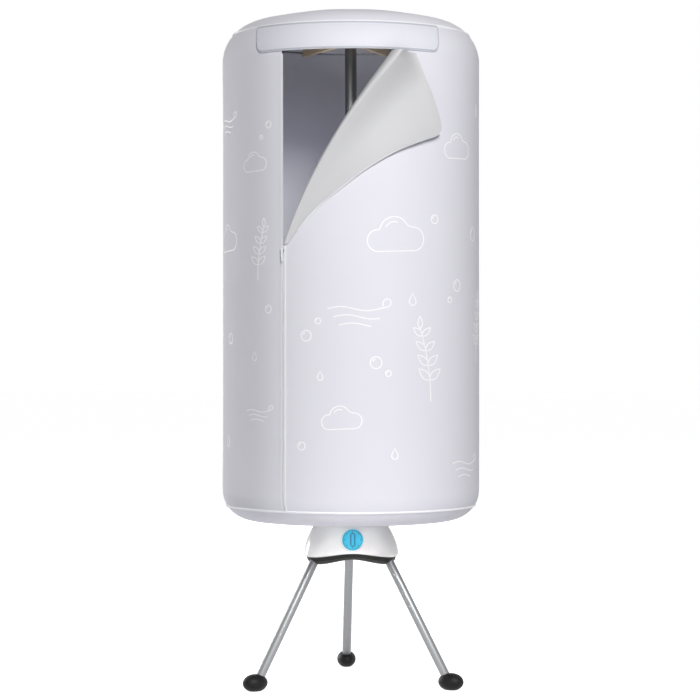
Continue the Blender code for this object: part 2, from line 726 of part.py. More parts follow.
def cover():
    """Cloth, piping, hoops, band and zip of the cover."""
    top_edge = TOP_PIPING - SEAM_HALF / TOP_SHOULDER_RADIUS
    outline = top_profile(0, 0, top_edge) + top_profile(CLOTH, 0, top_edge)[::-1]
    turned("cover_top", outline, ROUND_STEPS, "cover_cloth")
    low_edge = LOW_PIPING - SEAM_HALF / LOW_SHOULDER_RADIUS
    hem_angle = math.asin(hem_ring_radius() / LOW_CROWN_RADIUS)
    hem_z = LOW_CROWN_Z - LOW_CROWN_RADIUS * math.cos(hem_angle) + CLOTH / 2
    hole = hem_ring_radius() + HEM_RADIUS + GAP
    outline = low_profile(0, low_edge, hole) + low_profile(CLOTH, low_edge, hole)[::-1]
    turned("cover_bottom", outline, ROUND_STEPS, "cover_cloth")
    torus("hem_cord", hem_ring_radius(), HEM_RADIUS, hem_z, ROUND_STEPS, HOOP_STEPS, "cover_cloth")

    seam = math.radians(SIDE_SEAM_DEG)
    half_gap = GAP / 2 / COVER_RADIUS
    heights = low_rows() + high_rows()
    side_panel("cover_back_panel", seam + half_gap, math.tau - seam - half_gap, heights)
    side_panel("cover_left_panel", -seam + half_gap, ZIP_ANGLE - DOOR_EDGE / COVER_RADIUS, heights)
    door_panel()

    radius = TOP_SHOULDER_RADIUS - CLOTH / 2
    torus("piping_top", TOP_CENTRE_RADIUS + radius * math.sin(TOP_PIPING), PIPING_RADIUS,
          TOP_SHOULDER_Z + radius * math.cos(TOP_PIPING), ROUND_STEPS, WIRE_STEPS, "piping_cord")
    radius = LOW_SHOULDER_RADIUS - CLOTH / 2
    torus("piping_bottom", LOW_CENTRE_RADIUS + radius * math.sin(LOW_PIPING), PIPING_RADIUS,
          LOW_SHOULDER_Z - radius * math.cos(LOW_PIPING), ROUND_STEPS, WIRE_STEPS, "piping_cord")
    torus("hoop_top", TOP_HOOP_RADIUS, HOOP_WIRE_RADIUS, TOP_HOOP_Z, ROUND_STEPS, HOOP_STEPS, "steel")
    torus("hoop_bottom", LOW_HOOP_RADIUS, HOOP_WIRE_RADIUS, LOW_HOOP_Z, ROUND_STEPS, HOOP_STEPS, "steel")

    head = DOOR_HEAD_Z - FLAP_HEAD_DROP
    zip_strip("zipper_left", -1, [height for height in heights if height < head] + [head])
    zip_strip("zipper_right", 1, low_rows() + [ZIP_TIP_Z - FOLD_TIP_RADIUS])
    flap_zip()
    name_band()


def name_band():
    """The raised band over the door, with round lower corners."""
    start = math.radians(BAND_START_DEG)
    end = math.radians(BAND_END_DEG)
    corner = [(BAND_CORNER * (1 - math.cos(angle)), BAND_CORNER * (1 - math.sin(angle)))
              for angle in (0, math.pi / 6, math.pi / 3, math.pi / 2)]
    rows = [(DOOR_HEAD_Z + rise, inset) for rise, inset in corner]
    rows += [(height, 0) for height in high_rows() if height > rows[-1][0]]
    angles = facet_angles(start, end)

    def place(column, row):
        height, inset = rows[row]
        turn = inset / COVER_RADIUS
        angle = min(max(angles[column], start + turn), end - turn)
        return side_point(angle, height, GAP + BAND_THICKNESS)

    sheet("name_band", bent_grid(len(angles) - 1, len(rows) - 1, place), BAND_THICKNESS, "band_pvc")


def zip_slider():
    """Slider on the zip, with the pull hanging from its pin."""
    across = sideways(ZIP_ANGLE)
    out = outward(ZIP_ANGLE)
    up = Vector((0, 0, 1))
    height = ZIP_TIP_Z - SLIDER_DROP
    cloth_face = side_point(ZIP_ANGLE, height).dot(out)
    plate_face = cloth_face + SLIDER_CLEAR
    back_face = cloth_face - CLOTH - SLIDER_CLEAR
    plate_size = (SLIDER_WIDTH, SLIDER_PLATE, SLIDER_LENGTH)

    def at(radius):
        return frame_at(out * radius + up * height, across, -out, up)

    slider = box("zipper_slider", plate_size, at(plate_face + SLIDER_PLATE / 2), "steel")
    back = box("slider_back", plate_size, at(back_face - SLIDER_PLATE / 2))
    neck_depth = plate_face - back_face + SLIDER_PLATE
    neck_size = (SLIDER_NECK, neck_depth, SLIDER_NECK_LENGTH)
    neck = box("slider_neck", neck_size, at((plate_face + back_face) / 2))
    pin_radius = plate_face + SLIDER_PLATE + PULL_PIN_RISE
    ear_span = PULL_WIDTH + 2 * PULL_PIN_CLEAR + PULL_EAR
    ear_height = PULL_PIN_RISE + PULL_PIN_RADIUS + PULL_EAR / 2
    ears = bmesh.new()
    for side in (-1, 1):
        centre = out * (plate_face + SLIDER_PLATE / 2 + ear_height / 2) + across * side * ear_span / 2
        place = frame_at(centre + up * height, across, -out, up)
        size = (PULL_EAR, ear_height, 3 * PULL_EAR, 1)
        bmesh.ops.create_cube(ears, size=1, matrix=place @ Matrix.Diagonal(size))
    ears = mesh_object("slider_ears", ears)
    pin_place = frame_at(out * pin_radius + up * height, -out, up, across)
    pin_outline = disc_outline(PULL_PIN_RADIUS, -ear_span / 2, ear_span / 2)
    pin = turned("slider_pin", pin_outline, SCREW_STEPS, None, pin_place)
    for other in (back, neck, ears, pin):
        join(slider, other)

    eye = PULL_PIN_RADIUS + PULL_PIN_CLEAR
    eye_outside = eye + PULL_THICKNESS / 2
    outline = arc((0, 0), eye_outside, -40, 220, 8)
    outline += [(-PULL_THICKNESS / 2, -PULL_LENGTH), (PULL_THICKNESS / 2, -PULL_LENGTH)]
    hole = arc((0, 0), eye, 0, 315, 7)
    pull_place = frame_at(out * pin_radius + up * height, out, up, -across)
    cut_shape("zipper_pull", [outline, hole], PULL_WIDTH, pull_place, "steel")


def lobe(angle):
    """1 over a leg, -1 half way between two legs."""
    return math.cos(3 * (angle - LOBE_ANGLE))


def shell_radius(angle, height):
    """Outside radius of the housing."""
    rise = max(height - SHELL_BASE_Z, 0)
    dome = SHELL_RADIUS * math.sqrt(1 - (rise / SHELL_DOME_HEIGHT) ** 2)
    fade = min(max((NECK_Z - height) / (NECK_Z - SHELL_BASE_Z), 0), 1)
    return dome + LOBE_DEPTH * fade * fade * (3 - 2 * fade) * lobe(angle)


def seam_height(angle):
    """Height of the joint between shell and tray."""
    return SHELL_BASE_Z - SEAM_DROP - SEAM_DIP * lobe(angle)


def hem_ring_radius():
    """Radius of the hem where it grips the housing's neck."""
    return shell_radius(0, COVER_LOW_Z) + HEM_RADIUS + GAP


def round_place(rings):
    """Turn a function of (angle, row) into one of (column, row) for a closed wall."""
    return lambda column, row: rings(column * math.tau / ROUND_STEPS, row)


def base_shell():
    """White moulded dome with a hole for the dial, the outlet and the cord inlet."""
    def rings(angle, row):
        seam = seam_height(angle)
        if row <= SHELL_EDGE_STEPS:
            turn = math.pi / 2 * row / SHELL_EDGE_STEPS
            height = seam + EDGE_ROUND * (1 - math.cos(turn))
            radius = shell_radius(angle, height) - EDGE_ROUND * (1 - math.sin(turn))
        else:
            start = seam + EDGE_ROUND
            share = math.sin(math.pi / 2 * (row - SHELL_EDGE_STEPS) / SHELL_DOME_STEPS)
            height = start + (SHELL_END_Z - start) * share
            radius = shell_radius(angle, height)
        return outward(angle) * radius + Vector((0, 0, height))

    bm = bent_grid(ROUND_STEPS, SHELL_EDGE_STEPS + SHELL_DOME_STEPS, round_place(rings))
    shell = sheet("base_shell", bm, SHELL_WALL, "white_abs", merge=True)
    outlet = disc_outline(OUTLET_RADIUS, NECK_Z, SHELL_END_Z + OVERRUN)
    cut(shell, turned("outlet_hole", outlet, BORE_STEPS))
    hole = disc_outline(BEZEL_RADIUS + GAP, -BEZEL_DEPTH - OVERRUN, OVERRUN)
    cut(shell, turned("dial_hole", hole, BORE_STEPS, None, dial_place()))
    hole = disc_outline(INLET_RADIUS + GAP, -INLET_LENGTH - OVERRUN, OVERRUN)
    cut(shell, turned("inlet_hole", hole, SMALL_STEPS, None, inlet_place()))


def dial_place():
    """Placement of the dial: local Z comes out of the housing, leaning back."""
    out = Vector((0, -math.cos(DIAL_TILT), math.sin(DIAL_TILT)))
    up = Vector((0, math.sin(DIAL_TILT), math.cos(DIAL_TILT)))
    centre = outward(0) * shell_radius(0, DIAL_Z) + Vector((0, 0, DIAL_Z))
    return frame_at(centre, up.cross(out), up, out)


def inlet_place():
    """Placement of the cord inlet: local Z comes out of the housing."""
    angle = math.radians(INLET_DEG)
    centre = outward(angle) * (shell_radius(angle, INLET_Z) + INLET_STANDOFF) + Vector((0, 0, INLET_Z))
    return frame_at(centre, sideways(angle), Vector((0, 0, 1)), outward(angle))


def leg_point(angle, height):
    """Middle of a leg at a height."""
    reach = LEG_REACH + (SHELL_BASE_Z - LEG_REACH_DROP - height) * math.tan(LEG_TILT)
    return outward(angle) * reach + Vector((0, 0, height))


def leg_place(angle, height):
    """Placement on a leg's axis, local Z pointing up it."""
    up = Vector((0, 0, math.cos(LEG_TILT))) - outward(angle) * math.sin(LEG_TILT)
    side = sideways(angle)
    return frame_at(leg_point(angle, height), side.cross(up), side, up)


def leg_span(low, high):
    """Length along a leg between two heights."""
    return (high - low) / math.cos(LEG_TILT)


def base_tray():
    """Black moulded bottom with a sleeve for each leg, air slots and screw holes."""
    wall = [(EDGE_ROUND, 0)]
    wall += [(TRAY_FLOOR_INSET * share, drop) for share, drop in zip(TRAY_INSET_SHARES, TRAY_DROP_SHARES)]
    wall.reverse()

    def rings(angle, row):
        seam = seam_height(angle) - GAP
        floor = SHELL_BASE_Z - TRAY_DROP - TRAY_DIP * lobe(angle)
        if row > 1:
            inset, drop = wall[row - 2]
            radius = shell_radius(angle, seam) - inset
            height = seam + (floor - seam) * drop
        else:
            radius = TRAY_PLATE_RADIUS * row
            height = TRAY_PLATE_Z
        return outward(angle) * radius + Vector((0, 0, height))

    bm = bent_grid(ROUND_STEPS, len(wall) + 1, round_place(rings))
    tray = sheet("base_tray", bm, SHELL_WALL, "black_abs", merge=True)
    for name, degrees in LEG_DEGS.items():
        place = leg_place(math.radians(degrees), SLEEVE_LOW_Z)
        top = leg_span(SLEEVE_LOW_Z, LEG_TOP_Z) + SLEEVE_CAP
        outline = disc_outline(SLEEVE_BORE + SLEEVE_WALL, 0, top)
        join(tray, turned(f"sleeve_{name}", outline, TUBE_STEPS, None, place))
    for name, degrees in LEG_DEGS.items():
        place = leg_place(math.radians(degrees), SLEEVE_LOW_Z)
        top = leg_span(SLEEVE_LOW_Z, LEG_TOP_Z) + GAP
        outline = disc_outline(SLEEVE_BORE, -leg_span(SLEEVE_LOW_Z, LEG_TOP_Z), top)
        cut(tray, turned(f"sleeve_bore_{name}", outline, TUBE_STEPS, None, place), "MANIFOLD")
    slot = (VENT_WIDTH, VENT_OUTER - VENT_INNER, SHELL_WALL + 2 * OVERRUN)
    vents = box_ring("vent_slots", slot, (VENT_INNER + VENT_OUTER) / 2, TRAY_PLATE_Z - OVERRUN,
                     VENT_COUNT, math.pi / VENT_COUNT)
    cut(tray, vents, "MANIFOLD")
    for number in range(BRACKET_COUNT):
        outline = disc_outline(SCREW_RADIUS + GAP, TRAY_PLATE_Z - OVERRUN, FLOOR_TOP_Z + OVERRUN)
        place = Matrix.Translation(bracket_point(number))
        hole = turned(f"tray_screw_hole_{number + 1}", outline, SCREW_STEPS, None, place)
        cut(tray, hole, "MANIFOLD")


def bracket_point(number):
    """Where a bracket's foot and screw stand, at floor level."""
    return outward(number * math.tau / BRACKET_COUNT) * BRACKET_REACH


def motor_mount():
    """Bracket, its screws, the motor, its shaft and the fan."""
    plate = disc_outline(BRACKET_RADIUS, BRACKET_Z, BRACKET_Z + BRACKET_THICKNESS)
    bracket = turned("motor_bracket", plate, BORE_STEPS, "steel")
    arm_start = BRACKET_RADIUS / 2
    arm_end = BRACKET_REACH - BRACKET_FOOT_RADIUS / 3
    arm = (BRACKET_ARM_WIDTH, arm_end - arm_start, BRACKET_THICKNESS - GAP)
    arms = box_ring("bracket_arms", arm, (arm_start + arm_end) / 2, BRACKET_Z + GAP / 2, BRACKET_COUNT)
    join(bracket, arms)
    for number in range(BRACKET_COUNT):
        place = Matrix.Translation(bracket_point(number))
        foot = disc_outline(BRACKET_FOOT_RADIUS, FLOOR_TOP_Z + GAP, BRACKET_Z + BRACKET_THICKNESS / 2)
        join(bracket, turned(f"bracket_foot_{number + 1}", foot, SMALL_STEPS, None, place))
    for number in range(BRACKET_COUNT):
        place = Matrix.Translation(bracket_point(number))
        hole = disc_outline(SCREW_RADIUS + GAP, FLOOR_TOP_Z - OVERRUN, BRACKET_Z + GAP)
        cut(bracket, turned(f"bracket_hole_{number + 1}", hole, SCREW_STEPS, None, place), "MANIFOLD")
        head_z = TRAY_PLATE_Z - GAP
        outline = [(0, BRACKET_Z), (SCREW_RADIUS, BRACKET_Z), (SCREW_RADIUS, head_z),
                   (SCREW_HEAD_RADIUS, head_z), (SCREW_HEAD_RADIUS, head_z - SCREW_HEAD_HEIGHT / 2),
                   (SCREW_RADIUS, head_z - SCREW_HEAD_HEIGHT), (0, head_z - SCREW_HEAD_HEIGHT)]
        turned(f"bracket_screw_{number + 1}", outline, SCREW_STEPS, "steel", place)

    top = MOTOR_Z + MOTOR_HEIGHT
    nose = top + MOTOR_NOSE_HEIGHT
    bore = SHAFT_RADIUS + SHAFT_GAP
    seat = nose - SHAFT_SEAT
    outline = [(0, seat), (bore, seat), (bore, nose), (MOTOR_NOSE_RADIUS, nose), (MOTOR_NOSE_RADIUS, top),
               (MOTOR_RADIUS, top), (MOTOR_RADIUS, MOTOR_Z), (0, MOTOR_Z)]
    turned("fan_motor", outline, BORE_STEPS, "steel")
    shaft = disc_outline(SHAFT_RADIUS, seat + GAP, FAN_Z + FAN_HEIGHT)
    turned("motor_shaft", shaft, SMALL_STEPS, "steel")

    hub = ring_outline(SHAFT_RADIUS + SHAFT_GAP, FAN_HUB_RADIUS, FAN_Z, FAN_Z + FAN_HEIGHT)
    fan = turned("fan_impeller", hub, BORE_STEPS, "black_abs")
    blades = bmesh.new()
    root = (SHAFT_RADIUS + FAN_HUB_RADIUS) / 2
    chord = (FAN_HEIGHT - FAN_BLADE_THICKNESS) / math.cos(math.radians(FAN_PITCH_DEG))
    for number in range(BLADE_COUNT):
        angle = number * math.tau / BLADE_COUNT
        centre = outward(angle) * (root + FAN_RADIUS) / 2 + Vector((0, 0, FAN_Z + FAN_HEIGHT / 2))
        place = frame_at(centre, sideways(angle), -outward(angle), Vector((0, 0, 1)))
        place = place @ Matrix.Rotation(math.radians(FAN_PITCH_DEG), 4, "Y")
        size = (FAN_BLADE_THICKNESS, FAN_RADIUS - root, chord * FAN_CHORD_SHARE, 1)
        bmesh.ops.create_cube(blades, size=1, matrix=place @ Matrix.Diagonal(size))
    join(fan, mesh_object("fan_blades", blades))


def heater():
    """Outlet grille, pole socket, heater can, heating block and thermal cut-out."""
    low = GRILLE_Z
    high = low + GRILLE_THICKNESS
    spigot = OUTLET_RADIUS - GAP
    rim = [(OUTLET_RADIUS + GRILLE_FLANGE, high), (OUTLET_RADIUS + GRILLE_FLANGE, low), (spigot, low),
           (spigot, low - SPIGOT_DEPTH), (spigot - SPIGOT_WALL, low - SPIGOT_DEPTH),
           (spigot - SPIGOT_WALL, high)]
    grille = turned("outlet_grille", rim, BORE_STEPS, "grey_abs")
    boss_bore = SOCKET_RADIUS + GAP
    boss = ring_outline(boss_bore, boss_bore + BOSS_WALL, low, high)
    join(grille, spoke_wheel(boss, boss_bore + BOSS_WALL / 2, spigot - SPIGOT_WALL / 2, low))

    flange = SOCKET_FLANGE_Z
    bottom = SOCKET_LOW_Z
    rim = flange + SOCKET_FLANGE_THICKNESS
    outline = [(0, bottom + SOCKET_FLOOR), (SOCKET_BORE, bottom + SOCKET_FLOOR), (SOCKET_BORE, rim),
               (SOCKET_RADIUS + SOCKET_FLANGE, rim), (SOCKET_RADIUS + SOCKET_FLANGE, flange),
               (SOCKET_RADIUS, flange), (SOCKET_RADIUS, bottom), (0, bottom)]
    turned("pole_socket", outline, BORE_STEPS, "black_abs")

    can_top = low - SPIGOT_DEPTH - GAP
    can_low = can_top - HEATER_CAN_HEIGHT
    can_bore = spigot - HEATER_CAN_WALL
    lip_top = can_low + HEATER_CAN_WALL
    outline = [(spigot, can_top), (spigot, can_low), (can_bore - HEATER_LIP, can_low),
               (can_bore - HEATER_LIP, lip_top), (can_bore, lip_top), (can_bore, can_top)]
    turned("heater_frame", outline, BORE_STEPS, "steel")
    block = ring_outline(HEATER_BORE, can_bore - GAP, lip_top + GAP, lip_top + GAP + HEATER_HEIGHT)
    block = turned("heater_block", block, BORE_STEPS, "ceramic")
    inner = HEATER_BORE + HEATER_SLOT_MARGIN
    outer = can_bore - HEATER_SLOT_MARGIN
    slot = (HEATER_SLOT_WIDTH, outer - inner, HEATER_HEIGHT + 2 * OVERRUN)
    cut(block, box_ring("heater_slots", slot, (inner + outer) / 2, lip_top - OVERRUN, HEATER_SLOT_COUNT))

    angle = math.radians(CUTOUT_DEG)
    centre = outward(angle) * (spigot + GAP + CUTOUT_SIZE[0] / 2) + Vector((0, 0, can_top - CUTOUT_DROP))
    place = frame_at(centre, outward(angle), sideways(angle), Vector((0, 0, 1)))
    box("thermal_cutout", CUTOUT_SIZE, place, "ceramic", CUTOUT_EDGE)


def spoke_wheel(boss, start, end, low):
    """Boss, middle ring and spokes of the outlet grille, as one tool."""
    wheel = turned("grille_boss", boss, BORE_STEPS)
    ring = ring_outline(GRILLE_RING_RADIUS - SPOKE_WIDTH / 2, GRILLE_RING_RADIUS + SPOKE_WIDTH / 2,
                        low + GAP, low + GRILLE_THICKNESS - GAP)
    spoke = (SPOKE_WIDTH, end - start, GRILLE_THICKNESS - GAP)
    spokes = box_ring("grille_spokes", spoke, (start + end) / 2, low + GAP / 2, SPOKE_COUNT)
    join(wheel, spokes)
    join(wheel, turned("grille_ring", ring, BORE_STEPS))
    return wheel


def timer():
    """Timer, its shaft, the bezel in the housing and the dial."""
    place = dial_place()
    floor = -BEZEL_DEPTH
    shaft_hole = DIAL_SHAFT_RADIUS + GAP
    outline = [(BEZEL_BORE, 0), (BEZEL_RADIUS - EDGE_ROUND / 4, 0), (BEZEL_RADIUS, -EDGE_ROUND / 4),
               (BEZEL_RADIUS, floor), (shaft_hole, floor), (shaft_hole, floor + BEZEL_FLOOR),
               (BEZEL_BORE, floor + BEZEL_FLOOR)]
    turned("dial_bezel", outline, BORE_STEPS, "white_abs", place)

    low = floor + BEZEL_FLOOR + DIAL_CLEAR
    seat = low + DIAL_SEAT
    edge = DIAL_CLEAR * 2
    outline = [(0, DIAL_PROUD), (DIAL_RADIUS - edge, DIAL_PROUD), (DIAL_RADIUS, DIAL_PROUD - edge),
               (DIAL_RADIUS, low), (shaft_hole, low), (shaft_hole, seat), (0, seat)]
    dial = turned("timer_dial", outline, BORE_STEPS, "blue_abs", place)
    grip = bmesh.new()
    bmesh.ops.create_cube(grip, size=1)
    bmesh.ops.scale(grip, vec=(GRIP_WIDTH, GRIP_LENGTH, GRIP_HEIGHT), verts=grip.verts)
    for vert in grip.verts:
        if vert.co.z > 0:
            vert.co.x *= GRIP_SIDE_SHARE
            vert.co.y *= GRIP_END_SHARE
    lift = Matrix.Translation((0, 0, DIAL_PROUD + GRIP_HEIGHT / 2 - edge))
    grip = mesh_object("dial_grip", grip)
    grip.matrix_world = place @ lift
    join(dial, grip)

    timer_top = floor - GAP
    shaft = disc_outline(DIAL_SHAFT_RADIUS, timer_top + GAP, seat - GAP)
    turned("timer_shaft", shaft, SMALL_STEPS, "steel", place)
    middle = Matrix.Translation((0, 0, timer_top - TIMER_DEPTH / 2))
    box("timer_body", (TIMER_SIZE, TIMER_SIZE, TIMER_DEPTH), place @ middle, "black_abs", TIMER_EDGE)


def cord_inlet():
    """Bush in the back of the housing that the mains lead goes in by."""
    outline = [(INLET_BORE_RADIUS, INLET_FLANGE_THICKNESS),
               (INLET_FLANGE_RADIUS - INLET_STANDOFF, INLET_FLANGE_THICKNESS), (INLET_FLANGE_RADIUS, 0),
               (INLET_RADIUS, 0), (INLET_RADIUS, -INLET_LENGTH), (INLET_BORE_RADIUS, -INLET_LENGTH)]
    turned("cord_inlet", outline, SMALL_STEPS, "black_abs", inlet_place())


def legs():
    """Three tubes, each in its sleeve, on rubber feet with flat soles."""
    for name, degrees in LEG_DEGS.items():
        angle = math.radians(degrees)
        length = leg_span(LEG_LOW_Z, LEG_TOP_Z)
        outline = ring_outline(LEG_TUBE_RADIUS - LEG_TUBE_WALL, LEG_TUBE_RADIUS, 0, length)
        turned(f"leg_tube_{name}", outline, TUBE_STEPS, "aluminium", leg_place(angle, LEG_LOW_Z))

        middle_z = FOOT_HEIGHT / 2 - FOOT_SINK / 2
        bm = bmesh.new()
        bmesh.ops.create_uvsphere(bm, u_segments=FOOT_STEPS, v_segments=FOOT_RING_STEPS, radius=1)
        full = FOOT_HEIGHT + FOOT_SINK
        bmesh.ops.scale(bm, vec=(FOOT_WIDTH / 2, FOOT_LENGTH / 2, full / 2), verts=bm.verts)
        sole = -middle_z
        section = bmesh.ops.bisect_plane(bm, geom=bm.verts[:] + bm.edges[:] + bm.faces[:],
                                         plane_co=(0, 0, sole), plane_no=(0, 0, -1), clear_outer=True)
        rim = [item for item in section["geom_cut"] if isinstance(item, bmesh.types.BMEdge)]
        bmesh.ops.contextual_create(bm, geom=rim)
        foot = mesh_object(f"foot_{name}", bm, "rubber")
        centre = leg_point(angle, middle_z) + outward(angle) * FOOT_OFFSET
        foot.matrix_world = frame_at(centre, sideways(angle), -outward(angle), Vector((0, 0, 1)))
        bore = disc_outline(SLEEVE_BORE, -GAP, leg_span(LEG_LOW_Z, FOOT_HEIGHT) + FOOT_WIDTH / 2)
        cut(foot, turned(f"foot_bore_{name}", bore, TUBE_STEPS, None, leg_place(angle, LEG_LOW_Z)))


def pole():
    """Three pole lengths and the two sleeves that couple them."""
    joints = [POLE_LOW_Z + (POLE_TOP_Z - POLE_LOW_Z) * share for share in POLE_JOINT_SHARES]
    ends = [POLE_LOW_Z, *joints, POLE_TOP_Z]
    names = ("pole_lower", "pole_middle", "pole_upper")
    for number, name in enumerate(names):
        low = ends[number] + (GAP if number else 0)
        outline = ring_outline(POLE_RADIUS - POLE_WALL, POLE_RADIUS, low, ends[number + 1])
        turned(name, outline, TUBE_STEPS, "aluminium")
    bore = POLE_RADIUS + GAP
    outside = bore + COUPLER_WALL
    for name, height in zip(("pole_coupler_lower", "pole_coupler_upper"), joints):
        low = height - COUPLER_LENGTH / 2
        high = height + COUPLER_LENGTH / 2
        outline = [(bore, high), (outside - COUPLER_LIP, high), (outside, high - COUPLER_LIP),
                   (outside, low + COUPLER_LIP), (outside - COUPLER_LIP, low), (bore, low)]
        turned(name, outline, TUBE_STEPS, "black_abs")


def hanger_hub():
    """Hub on the pole's top, its cap and the wire ring that the arms turn on."""
    bore = POLE_RADIUS + GAP
    low = PIVOT_Z - HUB_LOW
    lug = PIVOT_RADIUS + HUB_LUG_REACH
    outside = [(HUB_CORE_RADIUS, HUB_TOP_Z), (HUB_CORE_RADIUS, PIVOT_Z + HUB_LUG_HALF),
               (lug, PIVOT_Z + HUB_LUG_HALF), (lug, PIVOT_Z - HUB_LUG_HALF),
               (HUB_CORE_RADIUS, PIVOT_Z - HUB_LUG_HALF), (HUB_CORE_RADIUS, low), (bore, low)]
    inside = [(bore, POLE_TOP_Z + GAP), (0, POLE_TOP_Z + GAP)]
    hub = turned("hanger_hub", [(0, HUB_TOP_Z)] + outside + inside, BORE_STEPS, "grey_abs")
    slot_floor = HUB_CORE_RADIUS - GAP
    slot_end = lug + OVERRUN
    slot = (ARM_THICKNESS + 2 * GAP, slot_end - slot_floor, 2 * HUB_LUG_HALF + OVERRUN)
    slots = box_ring("hub_slots", slot, (slot_floor + slot_end) / 2, PIVOT_Z - slot[2] / 2, ARM_COUNT,
                     math.radians(ARM_START_DEG))
    cut(hub, slots)
    channel = PIVOT_WIRE_RADIUS + GAP
    cut(hub, torus("wire_channel", PIVOT_RADIUS, channel, PIVOT_Z, BORE_STEPS, WIRE_STEPS))
    torus("hinge_wire_ring", PIVOT_RADIUS, PIVOT_WIRE_RADIUS, PIVOT_Z, BORE_STEPS, WIRE_STEPS, "steel")
    cap_low = HUB_TOP_Z + GAP
    radius = HUB_CORE_RADIUS - CAP_ROUND
    outline = [(0, cap_low + CAP_HEIGHT), (radius - CAP_ROUND, cap_low + CAP_HEIGHT),
               (radius, cap_low + CAP_HEIGHT - CAP_ROUND), (radius, cap_low), (0, cap_low)]
    turned("hub_cap", outline, BORE_STEPS, "grey_abs")


def arm_outline():
    """Side view of an arm from its pivot: eye, straight lower edge, seat for the hoop, crowned top."""
    tip = TOP_HOOP_RADIUS + ARM_TIP - PIVOT_RADIUS
    seat = TOP_HOOP_Z - HOOP_WIRE_RADIUS - GAP - PIVOT_Z
    low = seat - ARM_TIP_HEIGHT
    inner_top = cover_inside_z(PIVOT_RADIUS - ARM_EYE) - ARM_TOP_CLEAR - ARM_INNER_DROP - PIVOT_Z
    step = TOP_HOOP_RADIUS - HOOP_WIRE_RADIUS - ARM_STEP_CLEAR - PIVOT_RADIUS
    points = arc((0, 0), ARM_EYE, 180, 270, 3)
    points += [(ARM_THROAT, -ARM_EYE), (ARM_UNDER_START, low), (tip - ARM_TIP_ROUND, low),
               (tip, low + ARM_TIP_ROUND), (tip, seat), (step, seat)]
    crown = [(step, cover_inside_z(step + PIVOT_RADIUS) - ARM_TOP_CLEAR - PIVOT_Z)]
    for share in ARM_TOP_SHARES[::-1]:
        across = step * share
        crown.append((across, cover_inside_z(across + PIVOT_RADIUS) - ARM_TOP_CLEAR - PIVOT_Z))
    return points + crown + [(-ARM_EYE, inner_top)]


def window_outline():
    """The slot in an arm that hanger hooks go through."""
    points = []
    end = TOP_HOOP_RADIUS + ARM_TIP - PIVOT_RADIUS - WINDOW_MARGIN
    corners = ((WINDOW_START, -WINDOW_UNDER, 1, 1), (end, -WINDOW_UNDER, -1, 1),
               (end, WINDOW_OVER, -1, -1), (WINDOW_START, WINDOW_OVER, 1, -1))
    for number, (across, up, right, rise) in enumerate(corners):
        ends = [(across, up + rise * WINDOW_CORNER), (across + right * WINDOW_CORNER, up)]
        points += ends if number % 2 == 0 else ends[::-1]
    return points


def hanger_arms():
    """Eight arms, each on its own stretch of the wire ring."""
    sag = (ARM_THICKNESS / 2) ** 2 / (2 * PIVOT_RADIUS)
    eye = arc((0, 0), PIVOT_WIRE_RADIUS + GAP + sag, 0, 330, 11)
    for number in range(ARM_COUNT):
        angle = math.radians(ARM_START_DEG) + number * math.tau / ARM_COUNT
        pivot = outward(angle) * PIVOT_RADIUS + Vector((0, 0, PIVOT_Z))
        place = frame_at(pivot, outward(angle), Vector((0, 0, 1)), -sideways(angle))
        outlines = [arm_outline(), window_outline(), eye]
        cut_shape(f"hanger_arm_{number + 1}", outlines, ARM_THICKNESS, place, "beige_abs")


def main():
    """Build the dryer from the floor up."""
    legs()
    base_tray()
    base_shell()
    motor_mount()
    heater()
    timer()
    cord_inlet()
    pole()
    hanger_hub()
    hanger_arms()
    cover()
    zip_slider()


clear_scene()
PARTS = new_collection("portable_clothes_dryer")
CUTTERS = new_collection("cutters")
main()
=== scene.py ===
from math import acos, asin, atan, atan2, copysign, cos, pi, radians, remainder, sin, sqrt, tan, tau

import bmesh
import bpy
from mathutils import Matrix, Vector


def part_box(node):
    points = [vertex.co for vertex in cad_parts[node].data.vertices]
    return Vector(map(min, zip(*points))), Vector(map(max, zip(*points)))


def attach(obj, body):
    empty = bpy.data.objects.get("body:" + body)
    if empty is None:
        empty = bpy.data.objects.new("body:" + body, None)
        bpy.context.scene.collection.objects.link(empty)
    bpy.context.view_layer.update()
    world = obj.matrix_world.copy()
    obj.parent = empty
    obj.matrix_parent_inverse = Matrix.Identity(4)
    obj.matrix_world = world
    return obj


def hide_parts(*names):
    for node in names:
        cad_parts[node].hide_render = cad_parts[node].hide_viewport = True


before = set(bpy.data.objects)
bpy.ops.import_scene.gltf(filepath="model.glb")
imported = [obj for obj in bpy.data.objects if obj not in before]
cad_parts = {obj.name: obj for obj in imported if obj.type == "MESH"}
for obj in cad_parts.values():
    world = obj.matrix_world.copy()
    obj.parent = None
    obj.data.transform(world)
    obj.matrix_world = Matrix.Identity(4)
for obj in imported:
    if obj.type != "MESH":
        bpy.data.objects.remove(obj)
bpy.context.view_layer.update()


# The photograph's view: a long lens level with the middle of the dryer, standing a little to the left
# of the dial, so that the zip and the open corner of the door both show.
VIEW_DISTANCE = 4.8
VIEW_DEG = -2.4
VIEW_HEIGHT = 0.722
view_turn = radians(VIEW_DEG)
bpy.ops.object.camera_add(
    location=(VIEW_DISTANCE * sin(view_turn), -VIEW_DISTANCE * cos(view_turn), VIEW_HEIGHT),
    rotation=(pi / 2, 0, view_turn))
camera = bpy.context.object
camera.data.lens = 114.53
camera.data.sensor_width = 36
camera.data.shift_x = -0.0012
camera.data.shift_y = -0.0043
bpy.context.scene.camera = camera


